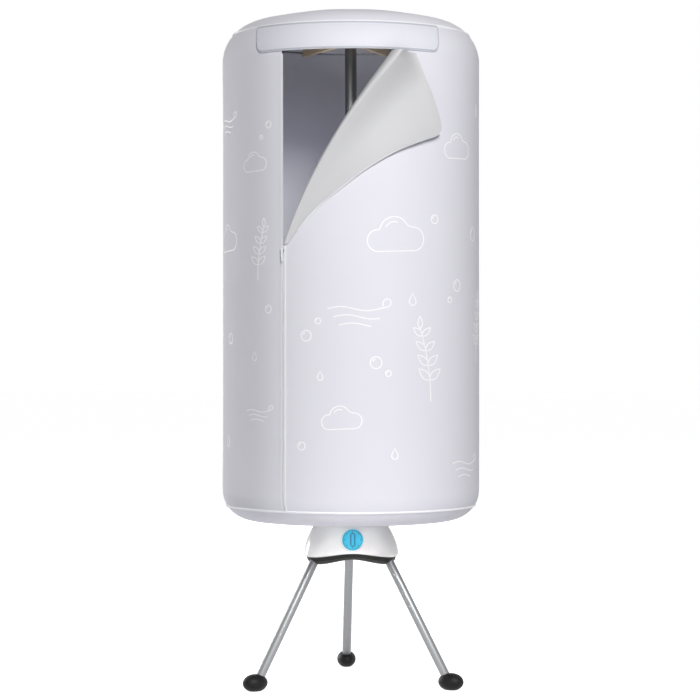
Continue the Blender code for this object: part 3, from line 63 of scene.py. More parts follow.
# Studio: a pale floor that takes the shadow, a white surround and a soft key lamp high in front. Strips
# draw the rims, a lamp behind lights the back, two low ones stand for light off the floor, and two in
# the drum stand for daylight through the cloth.
FLOOR_COLOUR = "#e4e4e6"
FLOOR_GLOW = 0.88
SURROUND_LEVEL = 0.03
LAMPS = {                               # side and rise in degrees, distance, aimed height, width, height,
                                        # watts, colour, spread in degrees
    "key": (11, 29, 5.0, 0.85, 1.0, 1.8, 206, "#ffffff", 180),
    "strip_right": (108, 5, 3.5, 0.85, 0.8, 2.5, 0.8, "#ddd2ff", 180),
    "strip_left": (-132, 5, 3.5, 0.85, 0.8, 2.5, 62, "#ffffff", 180),
    "back": (176, 8, 5.0, 0.85, 1.4, 2.0, 62, "#ffffff", 180),
    "low_fill": (-6, 1, 1.7, 0.25, 0.24, 0.12, 0.085, "#ffffff", 9),
    "floor_fill": (0, -28, 0.64, 0.42, 0.90, 0.18, 0.5, "#ffffff", 180),
    "inner_glow": (-20, 10, 0.06, 1.10, 0.10, 0.10, 0.42, "#e2e4ff", 180),
    "arm_glow": (-20, -55, 0.22, 1.33, 0.12, 0.12, 0.10, "#ffffff", 60),
}


def linear(code):
    """The linear colour that Blender works in, from an sRGB hex code."""
    shares = [int(code[place:place + 2], 16) / 255 for place in (1, 3, 5)]
    return [share / 12.92 if share <= 0.04045 else ((share + 0.055) / 1.055) ** 2.4
            for share in shares] + [1]


def fill_sockets(node, sockets):
    """Give each named socket of a node a value, or a link from another node's socket."""
    for name, value in sockets.items():
        if isinstance(value, bpy.types.NodeSocket):
            node.id_data.links.new(value, node.inputs[name])
        else:
            node.inputs[name].default_value = value


def add_node(tree, kind, sockets=None, **settings):
    """Add a node with its settings, and fill its sockets."""
    node = tree.nodes.new("ShaderNode" + kind)
    for name, value in settings.items():
        setattr(node, name, value)
    fill_sockets(node, sockets or {})
    return node


def new_material(name, **sockets):
    """A material with one Principled shader; its constant values go in by socket name."""
    material = bpy.data.materials.new(name)
    material.use_nodes = True
    tree = material.node_tree
    shader = tree.nodes["Principled BSDF"]
    fill_sockets(shader, {key.replace("_", " "): value for key, value in sockets.items()})
    return material, tree, shader


def seen_rays(tree):
    """1 where a ray shows the backdrop: to the camera, in a reflection or through something clear."""
    path = add_node(tree, "LightPath")
    shown = path.outputs["Is Camera Ray"]
    for ray in ("Is Glossy Ray", "Is Transmission Ray"):
        shown = add_node(tree, "Math", {0: shown, 1: path.outputs[ray]}, operation="MAXIMUM").outputs[0]
    return shown


bpy.ops.object.select_all(action="DESELECT")
bpy.ops.mesh.primitive_plane_add(size=60, location=(0, 0, 0))
floor = bpy.context.object
floor.name = "floor"
floor_material, tree, shader = new_material("pale_floor", Base_Color=linear(FLOOR_COLOUR), Roughness=0.9)
glow = add_node(tree, "Emission", {"Color": (1, 1, 1, 1), "Strength": FLOOR_GLOW})
veiled = add_node(tree, "AddShader", {0: shader.outputs[0], 1: glow.outputs[0]})
backdrop = add_node(tree, "MixShader", {0: seen_rays(tree), 1: shader.outputs[0], 2: veiled.outputs[0]})
tree.links.new(backdrop.outputs[0], tree.nodes["Material Output"].inputs["Surface"])
floor.data.materials.append(floor_material)

world = bpy.data.worlds.new("studio")
bpy.context.scene.world = world
world.use_nodes = True
tree = world.node_tree
surround = tree.nodes["Background"]
fill_sockets(surround, {"Color": (1, 1, 1, 1), "Strength": SURROUND_LEVEL})
white = add_node(tree, "Background", {"Color": (1, 1, 1, 1), "Strength": 1})
backdrop = add_node(tree, "MixShader", {0: seen_rays(tree), 1: surround.outputs[0], 2: white.outputs[0]})
tree.links.new(backdrop.outputs[0], tree.nodes["World Output"].inputs["Surface"])

for name, (side, rise, distance, aim_z, width, height, power, colour, spread) in LAMPS.items():
    level = distance * cos(radians(rise))
    place = Vector((level * sin(radians(side)), -level * cos(radians(side)),
                    aim_z + distance * sin(radians(rise))))
    bpy.ops.object.light_add(type="AREA", location=place)
    lamp = bpy.context.object
    lamp.name = name
    lamp.rotation_euler = (Vector((0, 0, aim_z)) - place).to_track_quat("-Z", "Y").to_euler()
    lamp.visible_camera = False
    lamp.data.shape = "RECTANGLE"
    lamp.data.size = width
    lamp.data.size_y = height
    lamp.data.energy = power
    lamp.data.color = linear(colour)[:3]
    lamp.data.spread = radians(spread)
bpy.context.scene.view_settings.view_transform = "Standard"


# Feet: three solid black rubber ovals, longer outwards than across. Each is pushed on the end of its
# leg, stands on a flat sole and reaches out a little past the tube.
LEG_DEGS = {"front_left": -60, "front_right": 60, "rear": 180}
LEG_TILT = radians(29.6)
LEG_REACH = 0.0998
LEG_REACH_Z = 0.251
FOOT_SIZE = (0.042, 0.056, 0.038)
FOOT_HEIGHT = 0.036
FOOT_OFFSET = 0.005
FOOT_SOLE_ROUND = 0.0022


def only(piece):
    """Make one object the only selected and active one."""
    bpy.ops.object.select_all(action="DESELECT")
    piece.select_set(True)
    bpy.context.view_layer.objects.active = piece
    return piece


def edit(piece, kind="VERT", chosen="DESELECT"):
    """Go into edit mode on a piece with nothing or everything selected."""
    only(piece)
    bpy.ops.object.mode_set(mode="EDIT")
    bpy.ops.mesh.select_mode(type=kind)
    bpy.ops.mesh.select_all(action=chosen)


def pick(piece, chosen, kind="verts"):
    """In edit mode, select the corners, edges or faces that a test is true of."""
    mesh = bmesh.from_edit_mesh(piece.data)
    for part in getattr(mesh, kind):
        part.select_set(bool(chosen(part)))
    mesh.select_flush_mode()
    bmesh.update_edit_mesh(piece.data)


def done():
    """Leave edit mode."""
    bpy.ops.object.mode_set(mode="OBJECT")


def settle(piece):
    """Put an object's place, turn and scale into its mesh."""
    only(piece)
    bpy.ops.object.transform_apply(location=True, rotation=True, scale=True)
    return piece


def modify(piece, kind, **settings):
    """Add a modifier with its settings and apply it."""
    only(piece)
    step = piece.modifiers.new(kind.title(), kind)
    for name, value in settings.items():
        setattr(step, name, value)
    bpy.ops.object.modifier_apply(modifier=step.name)
    return piece


def round_edges(piece, width, segments, degrees):
    """Round the edges that are sharper than an angle."""
    return modify(piece, "BEVEL", width=width, segments=segments, limit_method="ANGLE",
                  angle_limit=radians(degrees))


def combine(piece, other, operation):
    """Cut another piece away, or join it on, and throw the other away."""
    modify(piece, "BOOLEAN", object=other, operation=operation, solver="EXACT")
    bpy.data.objects.remove(other)
    return piece


def smooth(piece, degrees):
    """Shade smooth, except over edges sharper than an angle."""
    only(piece)
    bpy.ops.object.shade_smooth_by_angle(angle=radians(degrees))
    return piece


def link(piece):
    """Put a new object in the scene."""
    bpy.context.collection.objects.link(piece)
    return piece


def finish(piece, name, material, body, slot, *nodes):
    """Name a piece, give it its material and body, and hide the CAD nodes it takes the place of. Its finish
    slot is not used.
    """
    settle(piece)
    piece.name = name
    piece.data.name = name
    if material is not None:
        piece.data.materials.clear()
        piece.data.materials.append(material)
    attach(piece, body)
    if nodes:
        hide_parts(*nodes)
    return piece


def toned(name, tones, scale, detail, grain=None, texture="TexNoise", stretch=None, **sockets):
    """A material that drifts between two tones over the object, or over its UV map stretched. A grain of
    (scale, detail, strength, depth) roughens it."""
    material, tree, shader = new_material(name, **sockets)
    coords = add_node(tree, "TexCoord")
    place = {"Vector": coords.outputs["Object"]}
    if stretch:
        course = add_node(tree, "Mapping", {"Vector": coords.outputs["UV"], "Scale": stretch})
        place = {"Vector": course.outputs[0]}
    drift = add_node(tree, texture, {**place, "Scale": scale, "Detail": detail})
    tone = add_node(tree, "Mix", {0: drift.outputs[0], 6: linear(tones[0]), 7: linear(tones[1])},
                    data_type="RGBA")
    fill_sockets(shader, {"Base Color": tone.outputs[2]})
    if grain:
        grain_scale, grain_detail, strength, depth = grain
        bumps = add_node(tree, "TexNoise", {**place, "Scale": grain_scale, "Detail": grain_detail})
        relief = add_node(tree, "Bump", {"Height": bumps.outputs[0], "Strength": strength,
                                         "Distance": depth})
        fill_sockets(shader, {"Normal": relief.outputs[0]})
    return material


def outward(angle):
    """Level direction away from the pole, at an angle from the front."""
    return Vector((sin(angle), -cos(angle), 0))


def at(angle, radius, height):
    """Point at an angle from the front, a distance from the pole's axis and a height."""
    return outward(angle) * radius + Vector((0, 0, height))


def leg_point(angle, height):
    """Middle of a leg at a height."""
    return at(angle, LEG_REACH + (LEG_REACH_Z - height) * tan(LEG_TILT), height)


# Moulded rubber is dull, with a fine grain from the mould and a little dust on it. The grain is drawn
# about 1 mm across, coarser than real, so that it shows.
rubber = toned("black_rubber", ("#0c0c0d", "#141415"), 60, 4, (900, 2, 0.25, 0.0004),
               Roughness=0.5, Specular_IOR_Level=0.2)

foot_middle = FOOT_HEIGHT - FOOT_SIZE[2] / 2
bpy.ops.object.select_all(action="DESELECT")
bpy.ops.mesh.primitive_uv_sphere_add(segments=56, ring_count=32, radius=1,
                                     location=(0, FOOT_OFFSET, foot_middle))
foot = bpy.context.object
foot.scale = [side / 2 for side in FOOT_SIZE]
settle(foot)
edit(foot, chosen="SELECT")
bpy.ops.mesh.bisect(plane_co=(0, 0, 0), plane_no=(0, 0, -1), use_fill=True, clear_outer=True)
bpy.ops.mesh.bevel(offset=FOOT_SOLE_ROUND, segments=4)
done()
smooth(foot, 40)
for name, degrees in LEG_DEGS.items():
    angle = radians(degrees)
    piece = foot.copy()
    piece.data = foot.data.copy()
    link(piece)
    place = leg_point(angle, foot_middle)
    piece.matrix_world = (Matrix.Translation((place.x, place.y, 0))
                          @ Matrix.Rotation(angle + pi, 4, "Z"))
    finish(piece, f"rubber_foot_{name}", rubber, "root", "rubber", f"foot_{name}")
bpy.data.objects.remove(foot)


# Legs: three drawn aluminium tubes with a natural anodised finish. Each is pushed up into a sleeve in
# the base tray; its lower end stands in a foot.
LEG_LOW_Z = 0.016
LEG_TOP_Z = 0.306
LEG_TUBE_RADIUS = 0.0095
LEG_TUBE_WALL = 0.0012

# Drawn and anodised: satin, with fine streaks along the tube, drawn about 0.4 mm wide and so coarser
# than real.
anodised = toned("anodised_aluminium", ("#808182", "#939495"), 2.2, 3, (2.2, 3, 0.04, 0.0002),
                 stretch=(70, 0.6, 1), Metallic=1.0, Roughness=0.44)


def add_cylinder(sides, radius, depth, middle=(0, 0, 0), turn=(0, 0, 0), ends="NGON"):
    """A cylinder, upright unless it is turned."""
    bpy.ops.object.select_all(action="DESELECT")
    bpy.ops.mesh.primitive_cylinder_add(vertices=sides, radius=radius, depth=depth, end_fill_type=ends,
                                        location=middle, rotation=turn)
    return settle(bpy.context.object)


def add_tube(radius, wall, length, middle, turn=(0, 0, 0)):
    """An open tube with rounded rims, made from a cylinder."""
    tube = add_cylinder(48, radius, length, middle, turn, "NOTHING")
    modify(tube, "SOLIDIFY", thickness=wall, offset=-1)
    round_edges(tube, wall / 4, 2, 60)
    return smooth(tube, 50)


leg_length = (LEG_TOP_Z - LEG_LOW_Z) / cos(LEG_TILT)
for name, degrees in LEG_DEGS.items():
    low, high = (leg_point(radians(degrees), height) for height in (LEG_LOW_Z, LEG_TOP_Z))
    turn = (high - low).to_track_quat("Z", "Y").to_euler()
    leg = add_tube(LEG_TUBE_RADIUS, LEG_TUBE_WALL, leg_length, (low + high) / 2, turn)
    finish(leg, f"drawn_leg_{name}", anodised, "root", "aluminium", f"leg_tube_{name}")


# Base tray: the black moulded bottom of the heater housing, with a sleeve for each leg, twelve air
# slots in its floor and a deep skirt that follows the seam. The white dome sits on its rim.
def copy_node(node, degrees=35):
    """A merged, smooth-shaded copy of a CAD node's own shape."""
    piece = link(bpy.data.objects.new(node + "_copy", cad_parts[node].data.copy()))
    edit(piece, chosen="SELECT")
    bpy.ops.mesh.remove_doubles(threshold=0.00001)
    bpy.ops.mesh.tris_convert_to_quads(face_threshold=radians(8), shape_threshold=radians(60))
    done()
    return smooth(piece, degrees)


def moulded(name, colour, roughness, grain_mm, spread, gloss=0.5):
    """Moulded plastic: an even colour with slight flow marks, and the grain of the mould's face. The real
    grain is too fine to show, so it is drawn coarser, by its size in mm."""
    return toned(name, (colour, spread), 14, 3, (1000 / grain_mm, 2, 0.18, 0.0002),
                 Roughness=roughness, Specular_IOR_Level=gloss)


black_abs = moulded("textured_black_abs", "#161713", 0.58, 1.1, "#12130f", 0.25)
tray = copy_node("base_tray")
finish(tray, "housing_tray", black_abs, "root", "black_abs", "base_tray")


# Base shell: a dome moulded in one piece in glossy white ABS. Three soft lobes over the legs fade out
# towards the neck; the front has the hole for the dial, the back the one for the cord's bush.
SHELL_RADIUS = 0.0985
SHELL_DOME_HEIGHT = 0.099
SHELL_BASE_Z = 0.280
SHELL_WALL = 0.0025
LOBE_DEPTH = 0.0085
NECK_Z = 0.335
SHELL_END_Z = 0.367
SHELL_EDGE_ROUND = 0.004
SEAM_Z = 0.279
SEAM_DIP = 0.005
DIAL_Z = 0.314
DIAL_TILT = radians(12)
BEZEL_RADIUS = 0.0250
BEZEL_PLAY = 0.0002
INLET_ANGLE = radians(150)
INLET_Z = 0.300
INLET_RADIUS = 0.0053
CUTTER_LENGTH = 0.04
SHELL_EDGE_ROWS = 6
SHELL_DOME_ROWS = 22


def eased(share):
    """A share from 0 to 1 that starts and ends softly."""
    share = min(max(share, 0), 1)
    return share * share * (3 - 2 * share)


def lobe(angle):
    """1 over a leg, -1 half way between two legs."""
    return cos(3 * (angle - radians(60)))


def shell_radius(angle, height):
    """Outside radius of the dome."""
    rise = max(height - SHELL_BASE_Z, 0)
    dome = SHELL_RADIUS * sqrt(1 - (rise / SHELL_DOME_HEIGHT) ** 2)
    return dome + LOBE_DEPTH * eased((NECK_Z - height) / (NECK_Z - SHELL_BASE_Z)) * lobe(angle)


def add_wall(columns, rows, place):
    """An open cylinder, cut into rows, with each corner moved to place(angle, row)."""
    wall = add_cylinder(columns, 1, 2, ends="NOTHING")
    edit(wall, "EDGE")
    pick(wall, lambda edge: abs(edge.verts[0].co.z - edge.verts[1].co.z) > 1, "edges")
    bpy.ops.mesh.subdivide(number_cuts=rows - 1)
    done()
    for vert in wall.data.vertices:
        angle = atan2(vert.co.x, -vert.co.y)
        vert.co = place(angle, round((vert.co.z + 1) / 2 * rows))
    return wall


def shell_point(angle, row):
    """A corner of the dome: the rounded edge at the seam, then the dome up to its rim."""
    seam = SEAM_Z - SEAM_DIP * lobe(angle)
    if row <= SHELL_EDGE_ROWS:
        turn = pi / 2 * row / SHELL_EDGE_ROWS
        height = seam + SHELL_EDGE_ROUND * (1 - cos(turn))
        radius = shell_radius(angle, height) - SHELL_EDGE_ROUND * (1 - sin(turn))
    else:
        start = seam + SHELL_EDGE_ROUND
        share = sin(pi / 2 * (row - SHELL_EDGE_ROWS) / SHELL_DOME_ROWS)
        height = start + (SHELL_END_Z - start) * share
        radius = shell_radius(angle, height)
    return at(angle, radius, height)


# Glossy injection-moulded ABS: clear reflections, a hardly visible orange peel, no grain.
white_abs = toned("glossy_white_abs", ("#ecebea", "#e6e6e5"), 9, 2, (240, 1, 0.06, 0.0004),
                  Roughness=0.22, Coat_Weight=0.25, Coat_Roughness=0.12)

shell = add_wall(144, SHELL_EDGE_ROWS + SHELL_DOME_ROWS, shell_point)
modify(shell, "SOLIDIFY", thickness=SHELL_WALL, offset=-1)
dial_middle = at(0, shell_radius(0, DIAL_Z), DIAL_Z)
inlet_middle = at(INLET_ANGLE, shell_radius(INLET_ANGLE, INLET_Z), INLET_Z)
for sides, radius, middle, turn in (
        (96, BEZEL_RADIUS + BEZEL_PLAY, dial_middle, (pi / 2 - DIAL_TILT, 0, 0)),
        (48, INLET_RADIUS, inlet_middle, (pi / 2, 0, INLET_ANGLE))):
    combine(shell, add_cylinder(sides, radius, CUTTER_LENGTH, middle, turn), "DIFFERENCE")
round_edges(shell, 0.0005, 2, 50)
smooth(shell, 40)
finish(shell, "housing_dome", white_abs, "root", "white_abs", "base_shell")


# Timer dial: a turned-looking knob moulded in translucent blue ABS, with a raised grip bar and marks
# round its edge. It turns inside a white bezel ring that snaps into the dome.
BEZEL_BORE = 0.0225
BEZEL_DEPTH = 0.012
BEZEL_FLOOR = 0.0025
DIAL_RADIUS = 0.022
DIAL_PROUD = 0.0035
DIAL_THICKNESS = 0.0115
DIAL_FACE_DROP = 0.0016
DIAL_RIM = 0.0016
DIAL_RIM_SLOPE = 0.0008
GRIP_SIZE = (0.0080, 0.027, 0.0078)
# Painted shade: the size of a dark blue patch under the grip, for the grip's shadow on the face.
GRIP_SHADE_SIZE = (0.0114, 0.0300)
MARK_COUNT = 8
MARK_RADIUS = 0.0012
MARK_INSET = 0.0046
MARK_THICKNESS = 0.0003
MARK_LIFT = 0.0001
# Painted shade: where the dark blue line round the foot of the rim lies, and how thick it is.
RIM_SHADE_INSET = 0.0007
RIM_SHADE_RADIUS = 0.0005
dial_face = DIAL_PROUD - DIAL_FACE_DROP
dial_frame = Matrix.Translation(dial_middle) @ Matrix.Rotation(pi / 2 - DIAL_TILT, 4, "X")


def finish_on_dome(piece, *details):
    """Move a piece that was made round the origin to the dial's place, and finish it."""
    only(piece)
    piece.matrix_world = dial_frame @ piece.matrix_world
    return finish(piece, *details)


def edit_front(piece):
    """Go into edit mode with the face that looks up selected."""
    edit(piece, "FACE")
    pick(piece, lambda face: face.normal.z > 0.9, "faces")


def add_block(size, middle):
    """A block."""
    bpy.ops.object.select_all(action="DESELECT")
    bpy.ops.mesh.primitive_cube_add(size=1, location=middle)
    block = bpy.context.object
    block.scale = size
    return settle(block)


def add_hoop(radius, wire, height, around=144, across=10):
    """A level ring of round wire."""
    bpy.ops.object.select_all(action="DESELECT")
    bpy.ops.mesh.primitive_torus_add(major_radius=radius, minor_radius=wire, location=(0, 0, height),
                                     major_segments=around, minor_segments=across)
    return settle(bpy.context.object)


bezel = add_cylinder(96, BEZEL_RADIUS, BEZEL_DEPTH, (0, 0, -BEZEL_DEPTH / 2))
edit_front(bezel)
bpy.ops.mesh.inset(thickness=BEZEL_RADIUS - BEZEL_BORE)
bpy.ops.mesh.extrude_region_move(TRANSFORM_OT_translate={"value": (0, 0, BEZEL_FLOOR - BEZEL_DEPTH)})
done()
round_edges(bezel, 0.0009, 4, 40)
smooth(bezel, 35)
finish_on_dome(bezel, "dial_ring", white_abs, "root", "white_abs", "dial_bezel")

# Tinted ABS: smooth and slightly clear, so that light spreads a little under its surface.
dial_blue = toned("tinted_blue_abs", ("#33bbdb", "#48d2ec"), 60, 3, Roughness=0.24, Coat_Weight=0.3,
                  Coat_Roughness=0.1, Subsurface_Weight=0.12, Subsurface_Scale=0.004)

dial = add_cylinder(96, DIAL_RADIUS, DIAL_THICKNESS, (0, 0, DIAL_PROUD - DIAL_THICKNESS / 2))
edit_front(dial)
bpy.ops.mesh.inset(thickness=DIAL_RIM)
bpy.ops.mesh.inset(thickness=DIAL_RIM_SLOPE, depth=-DIAL_FACE_DROP)
done()
round_edges(dial, 0.0006, 3, 40)
grip = add_block(GRIP_SIZE, (0, 0, dial_face + GRIP_SIZE[2] / 2))
edit_front(grip)
bpy.ops.transform.resize(value=(0.5, 0.8, 1))
bpy.ops.mesh.select_all(action="SELECT")
bpy.ops.mesh.subdivide(number_cuts=3)
done()
round_edges(grip, 0.0012, 4, 30)
combine(dial, grip, "UNION")
smooth(dial, 32)
finish_on_dome(dial, "blue_dial", dial_blue, "dial", "blue_abs", "timer_dial")

# Blue marks on the dial's face: printed ticks round its edge, and painted shade in the same dark blue. A
# patch under the grip stands for its shadow, and a line round the foot of the rim for the shade of the
# recess.
print_and_shade_blue = toned("blue_print_and_painted_shade", ("#1c5f88", "#23709a"), 500, 2, Roughness=0.45)
marks = []
for number in range(MARK_COUNT):
    place = at(pi - number * tau / MARK_COUNT, DIAL_RADIUS - MARK_INSET, dial_face + MARK_LIFT)
    marks.append(add_cylinder(16, MARK_RADIUS, MARK_THICKNESS, place))
# Painted shade: a dark blue rounded patch a little larger than the grip, for the grip's shadow on the face.
grip_shade = add_block((*GRIP_SHADE_SIZE, MARK_THICKNESS), (0, 0, dial_face + MARK_LIFT))
edit(grip_shade, "EDGE")
pick(grip_shade, lambda edge: abs(edge.verts[0].co.z - edge.verts[1].co.z) > MARK_THICKNESS / 2, "edges")
bpy.ops.mesh.bevel(offset=GRIP_SHADE_SIZE[0] * 0.48, segments=8)
done()
# Painted shade: a dark blue line round the foot of the rim, for the shade in the recess.
ring = add_hoop(DIAL_RADIUS - DIAL_RIM - RIM_SHADE_INSET, RIM_SHADE_RADIUS, dial_face, 96, 8)
only(marks[0])
for mark in marks + [grip_shade, ring]:
    mark.select_set(True)
bpy.ops.object.join()
finish_on_dome(marks[0], "dial_marks", print_and_shade_blue, "dial", "blue_abs")


# Cord bush: a black moulded ring in the back of the dome, where the mains lead goes in.
# The pole's socket, moulded in the same black, stands up through the dome's neck.
for node in ("cord_inlet", "pole_socket"):
    finish(copy_node(node), "moulded_" + node, black_abs, "root", "black_abs", node)


# Inside the housing: a motor on a three-armed steel bracket drives the fan under a ceramic heating
# block in its sheet-steel can; the timer sits behind the dial. They show only through the slots.
zinc_steel = toned("zinc_plated_steel", ("#8f9294", "#b4b6b8"), 260, 0, texture="TexVoronoi",
                   Metallic=1.0, Roughness=0.34)
# The ceramic's pores are drawn under 3 mm across, coarser than real.
ceramic = toned("fired_ceramic", ("#c9c2b4", "#e2dccf"), 380, 4, (380, 4, 0.3, 0.0003), Roughness=0.7)
INNER_FINISHES = {
    zinc_steel: ("motor_bracket", "bracket_screw_1", "bracket_screw_2", "bracket_screw_3", "motor_shaft",
                 "heater_frame", "timer_shaft", "hinge_wire_ring"),
    black_abs: ("fan_motor", "fan_impeller", "timer_body"),
    ceramic: ("heater_block", "thermal_cutout"),
}
for material, nodes in INNER_FINISHES.items():
    for node in nodes:
        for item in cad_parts[node].material_slots:
            item.material = material


# Outlet grille: a grey spoked ring set in the neck of the dome. The pole's socket stands in its
# middle, and the warm air comes up between its spokes.
grey_abs = moulded("grey_abs", "#85878c", 0.48, 1.3, "#7b7d82")
grille = round_edges(copy_node("outlet_grille"), 0.0003, 2, 50)
finish(grille, "spoked_grille", grey_abs, "root", "grey_abs", "outlet_grille")


# Pole: three aluminium lengths, drawn like the legs, butted inside two black moulded couplers, from
# the socket in the housing up to the hub under the cover's top.
POLE_RADIUS = 0.0125
POLE_WALL = 0.0012
COUPLER_PLAY = 0.0003
COUPLER_RIB_HALF = 0.001
COUPLER_RIB_PROUD = 0.0006


def extent(node):
    """A round upright node's outside radius, its length and the height of its middle."""
    low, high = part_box(node)
    return high.x, high.z - low.z, (low.z + high.z) / 2


for node in ("pole_lower", "pole_middle", "pole_upper"):
    _, length, middle = extent(node)
    pole = add_tube(POLE_RADIUS, POLE_WALL, length, (0, 0, middle))
    finish(pole, "drawn_" + node, anodised, "root", "aluminium", node)
for node in ("pole_coupler_lower", "pole_coupler_upper"):
    radius, length, middle = extent(node)
    coupler = add_tube(radius, radius - POLE_RADIUS - COUPLER_PLAY, length, (0, 0, middle))
    edit(coupler, "EDGE")
    for height in (middle - COUPLER_RIB_HALF, middle + COUPLER_RIB_HALF):
        bpy.ops.mesh.select_all(action="SELECT")
        bpy.ops.mesh.bisect(plane_co=(0, 0, height), plane_no=(0, 0, 1))
    bpy.ops.mesh.select_mode(type="FACE")
    pick(coupler, lambda face: abs(face.calc_center_median().z - middle) < COUPLER_RIB_HALF
         and face.calc_center_median().xy.length > POLE_RADIUS + 0.002, "faces")
    bpy.ops.mesh.extrude_region_shrink_fatten(TRANSFORM_OT_shrink_fatten={"value": -COUPLER_RIB_PROUD})
    done()
    smooth(coupler, 40)
    finish(coupler, "moulded_" + node, black_abs, "root", "black_abs", node)


# Hanger hub and arms: eight moulded arms swing on a wire ring clipped into the hub on the pole's top.
# Each has a long slot for hanger hooks, and carries the cover's top hoop on its tip. The arms are
# beige, as what shows of the frame's top through the opening.
beige_abs = moulded("beige_abs", "#e3cfae", 0.5, 1.6, "#dcc6a3")
hub_parts = [("hanger_hub", grey_abs, "root"), ("hub_cap", grey_abs, "root")]
arms = [(f"hanger_arm_{number}", beige_abs, f"arm_{number}") for number in range(1, 9)]
for node, material, body in hub_parts + arms:
    piece = round_edges(copy_node(node, 40), 0.0004, 2, 50)
    finish(piece, "moulded_" + node, material, body, "grey_abs", node)


# Hoops: two rings of spring-steel wire that keep the cover round. The top one lies on the arms' tips
# inside the cover's shoulder, the bottom one sits in the turn of the bottom cap.
HOOP_WIRE_RADIUS = 0.002
for node in ("hoop_top", "hoop_bottom"):
    radius, _, middle = extent(node)
    hoop = smooth(add_hoop(radius - HOOP_WIRE_RADIUS, HOOP_WIRE_RADIUS, middle), 60)
    finish(hoop, "spring_" + node, zinc_steel, "root", "steel", node)


# Cover: coated polyester cloth, sewn from a domed cap, a back, a left panel, a door and a bottom cap.
# It hangs over the hoops, so its straight part is a smooth drum with slack waves a millimetre deep and
# a shallow dip along each seam. The pale lining is the coating on its inner side.
COVER_RADIUS = 0.276
COVER_TOP_Z = 1.441
COVER_LOW_Z = 0.3416
TOP_SHOULDER_Z = 1.330
TOP_SHOULDER_RADIUS = 0.088
LOW_SHOULDER_Z = 0.416
LOW_SHOULDER_RADIUS = 0.064
TOP_PIPING = radians(48.6)
LOW_PIPING = radians(59.2)
PIPING_MARGIN = 0.0024
CLOTH = 0.0012
SLACK_DEPTH = 0.00045
TOP_FADE = 0.16                         # how far below the upper shoulder the waves are full
LOW_FADE = 0.12                         # and how far above the lower one
SEAM_DIP_WIDTH = 0.005
SEAM_DIP_DEPTH = 0.0009
SEAM_MARGIN = 0.006
SEAM_COLUMNS = (0, 0.0012, 0.0024, 0.004)
SIDE_SEAMS = (-pi / 2, pi / 2)
SIDE_GAP = 0.0002 / COVER_RADIUS
CAP_START = 0.0002
CAP_SAG = 0.0007
CAP_SAG_START = 0.045
CAP_SAG_WIDTH = 0.19
ZIP_ANGLE = radians(-32.6)
ZIP_EDGE = 0.0036 / COVER_RADIUS
DOOR_HEAD_Z = 1.329


def cap_profile(side, tip_z, shoulder_z, shoulder_radius):
    """The shape of one end of the cover, up (1) or down (-1): a shallow dome that runs smoothly into a
    rounded shoulder."""
    centre = COVER_RADIUS - shoulder_radius
    height = side * (tip_z - shoulder_z)
    dome_radius = (centre ** 2 + height ** 2 - shoulder_radius ** 2) / (2 * (height - shoulder_radius))
    dome_angle = atan(centre / (dome_radius - height))
    return side, tip_z, shoulder_z, shoulder_radius, centre, dome_radius, dome_angle


TOP_END = cap_profile(1, COVER_TOP_Z, TOP_SHOULDER_Z, TOP_SHOULDER_RADIUS)
LOW_END = cap_profile(-1, COVER_LOW_Z, LOW_SHOULDER_Z, LOW_SHOULDER_RADIUS)


def slack(angle, height):
    """How far the hanging cloth stands in or out of a true drum."""
    hang = eased(min((TOP_SHOULDER_Z - height) / TOP_FADE, (height - LOW_SHOULDER_Z) / LOW_FADE))
    wave = sin(5 * angle + 0.9 * sin(4.1 * height) + 0.6)
    wave += 0.7 * sin(9 * angle - 2.3 * height + 1.9)
    wave += 0.4 * sin(3 * angle + 6.4 * height)
    seam = min(abs(remainder(angle - place, tau)) for place in SIDE_SEAMS) * COVER_RADIUS
    dip = max(0, 1 - seam / SEAM_DIP_WIDTH)
    return SLACK_DEPTH * hang * (wave - 1.2) - SEAM_DIP_DEPTH * dip * dip


def on_cap(end, angle, lean, lift=0):
    """Point on an end of the cover, or over it by lift. It leans by an angle from straight up or down."""
    side, tip_z, shoulder_z, shoulder_radius, centre, dome_radius, dome_angle = end
    if lean < dome_angle:
        bend, ring, level = dome_radius + lift, 0, tip_z - side * dome_radius
    else:
        bend, ring, level = shoulder_radius + lift, centre, shoulder_z
    return at(angle, ring + bend * sin(lean), level + side * bend * cos(lean))


def on_cover(angle, height, lift=0):
    """Point on the cover's side, or over it by lift."""
    lift += slack(angle, height)
    for end in (TOP_END, LOW_END):
        past = end[0] * (height - end[2]) / end[3]
        if past > 0:
            return on_cap(end, angle, acos(min(1, past)), lift)
    return at(angle, COVER_RADIUS + lift, height)


def laid(angle, height, lift=0):
    """A corner of a sheet on the cover: its point, and its place on the unrolled cloth."""
    return on_cover(angle, height, lift), (angle * COVER_RADIUS, height)


def laid_at(place, lift=0):
    """The same for a place on the unrolled cloth."""
    return laid(place.x / COVER_RADIUS, place.y, lift)


def between(start, end, steps):
    """Evenly spaced values, both ends included."""
    return [start + (end - start) * number / steps for number in range(steps + 1)]


def add_sheet(name, rows):
    """Cloth from rows of (point, flat place) pairs, with the flat places kept as its UV map in metres."""
    mesh = bpy.data.meshes.new(name)
    corners = [corner for row in rows for corner in row]
    width = len(rows[0])
    starts = [row * width + column for row in range(len(rows) - 1) for column in range(width - 1)]
    mesh.from_pydata([point for point, _ in corners], [],
                     [(start, start + 1, start + width + 1, start + width) for start in starts])
    layer = mesh.uv_layers.new(name="cloth")
    for loop in mesh.loops:
        layer.data[loop.index].uv = corners[loop.vertex_index][1]
    return link(bpy.data.objects.new(name, mesh))


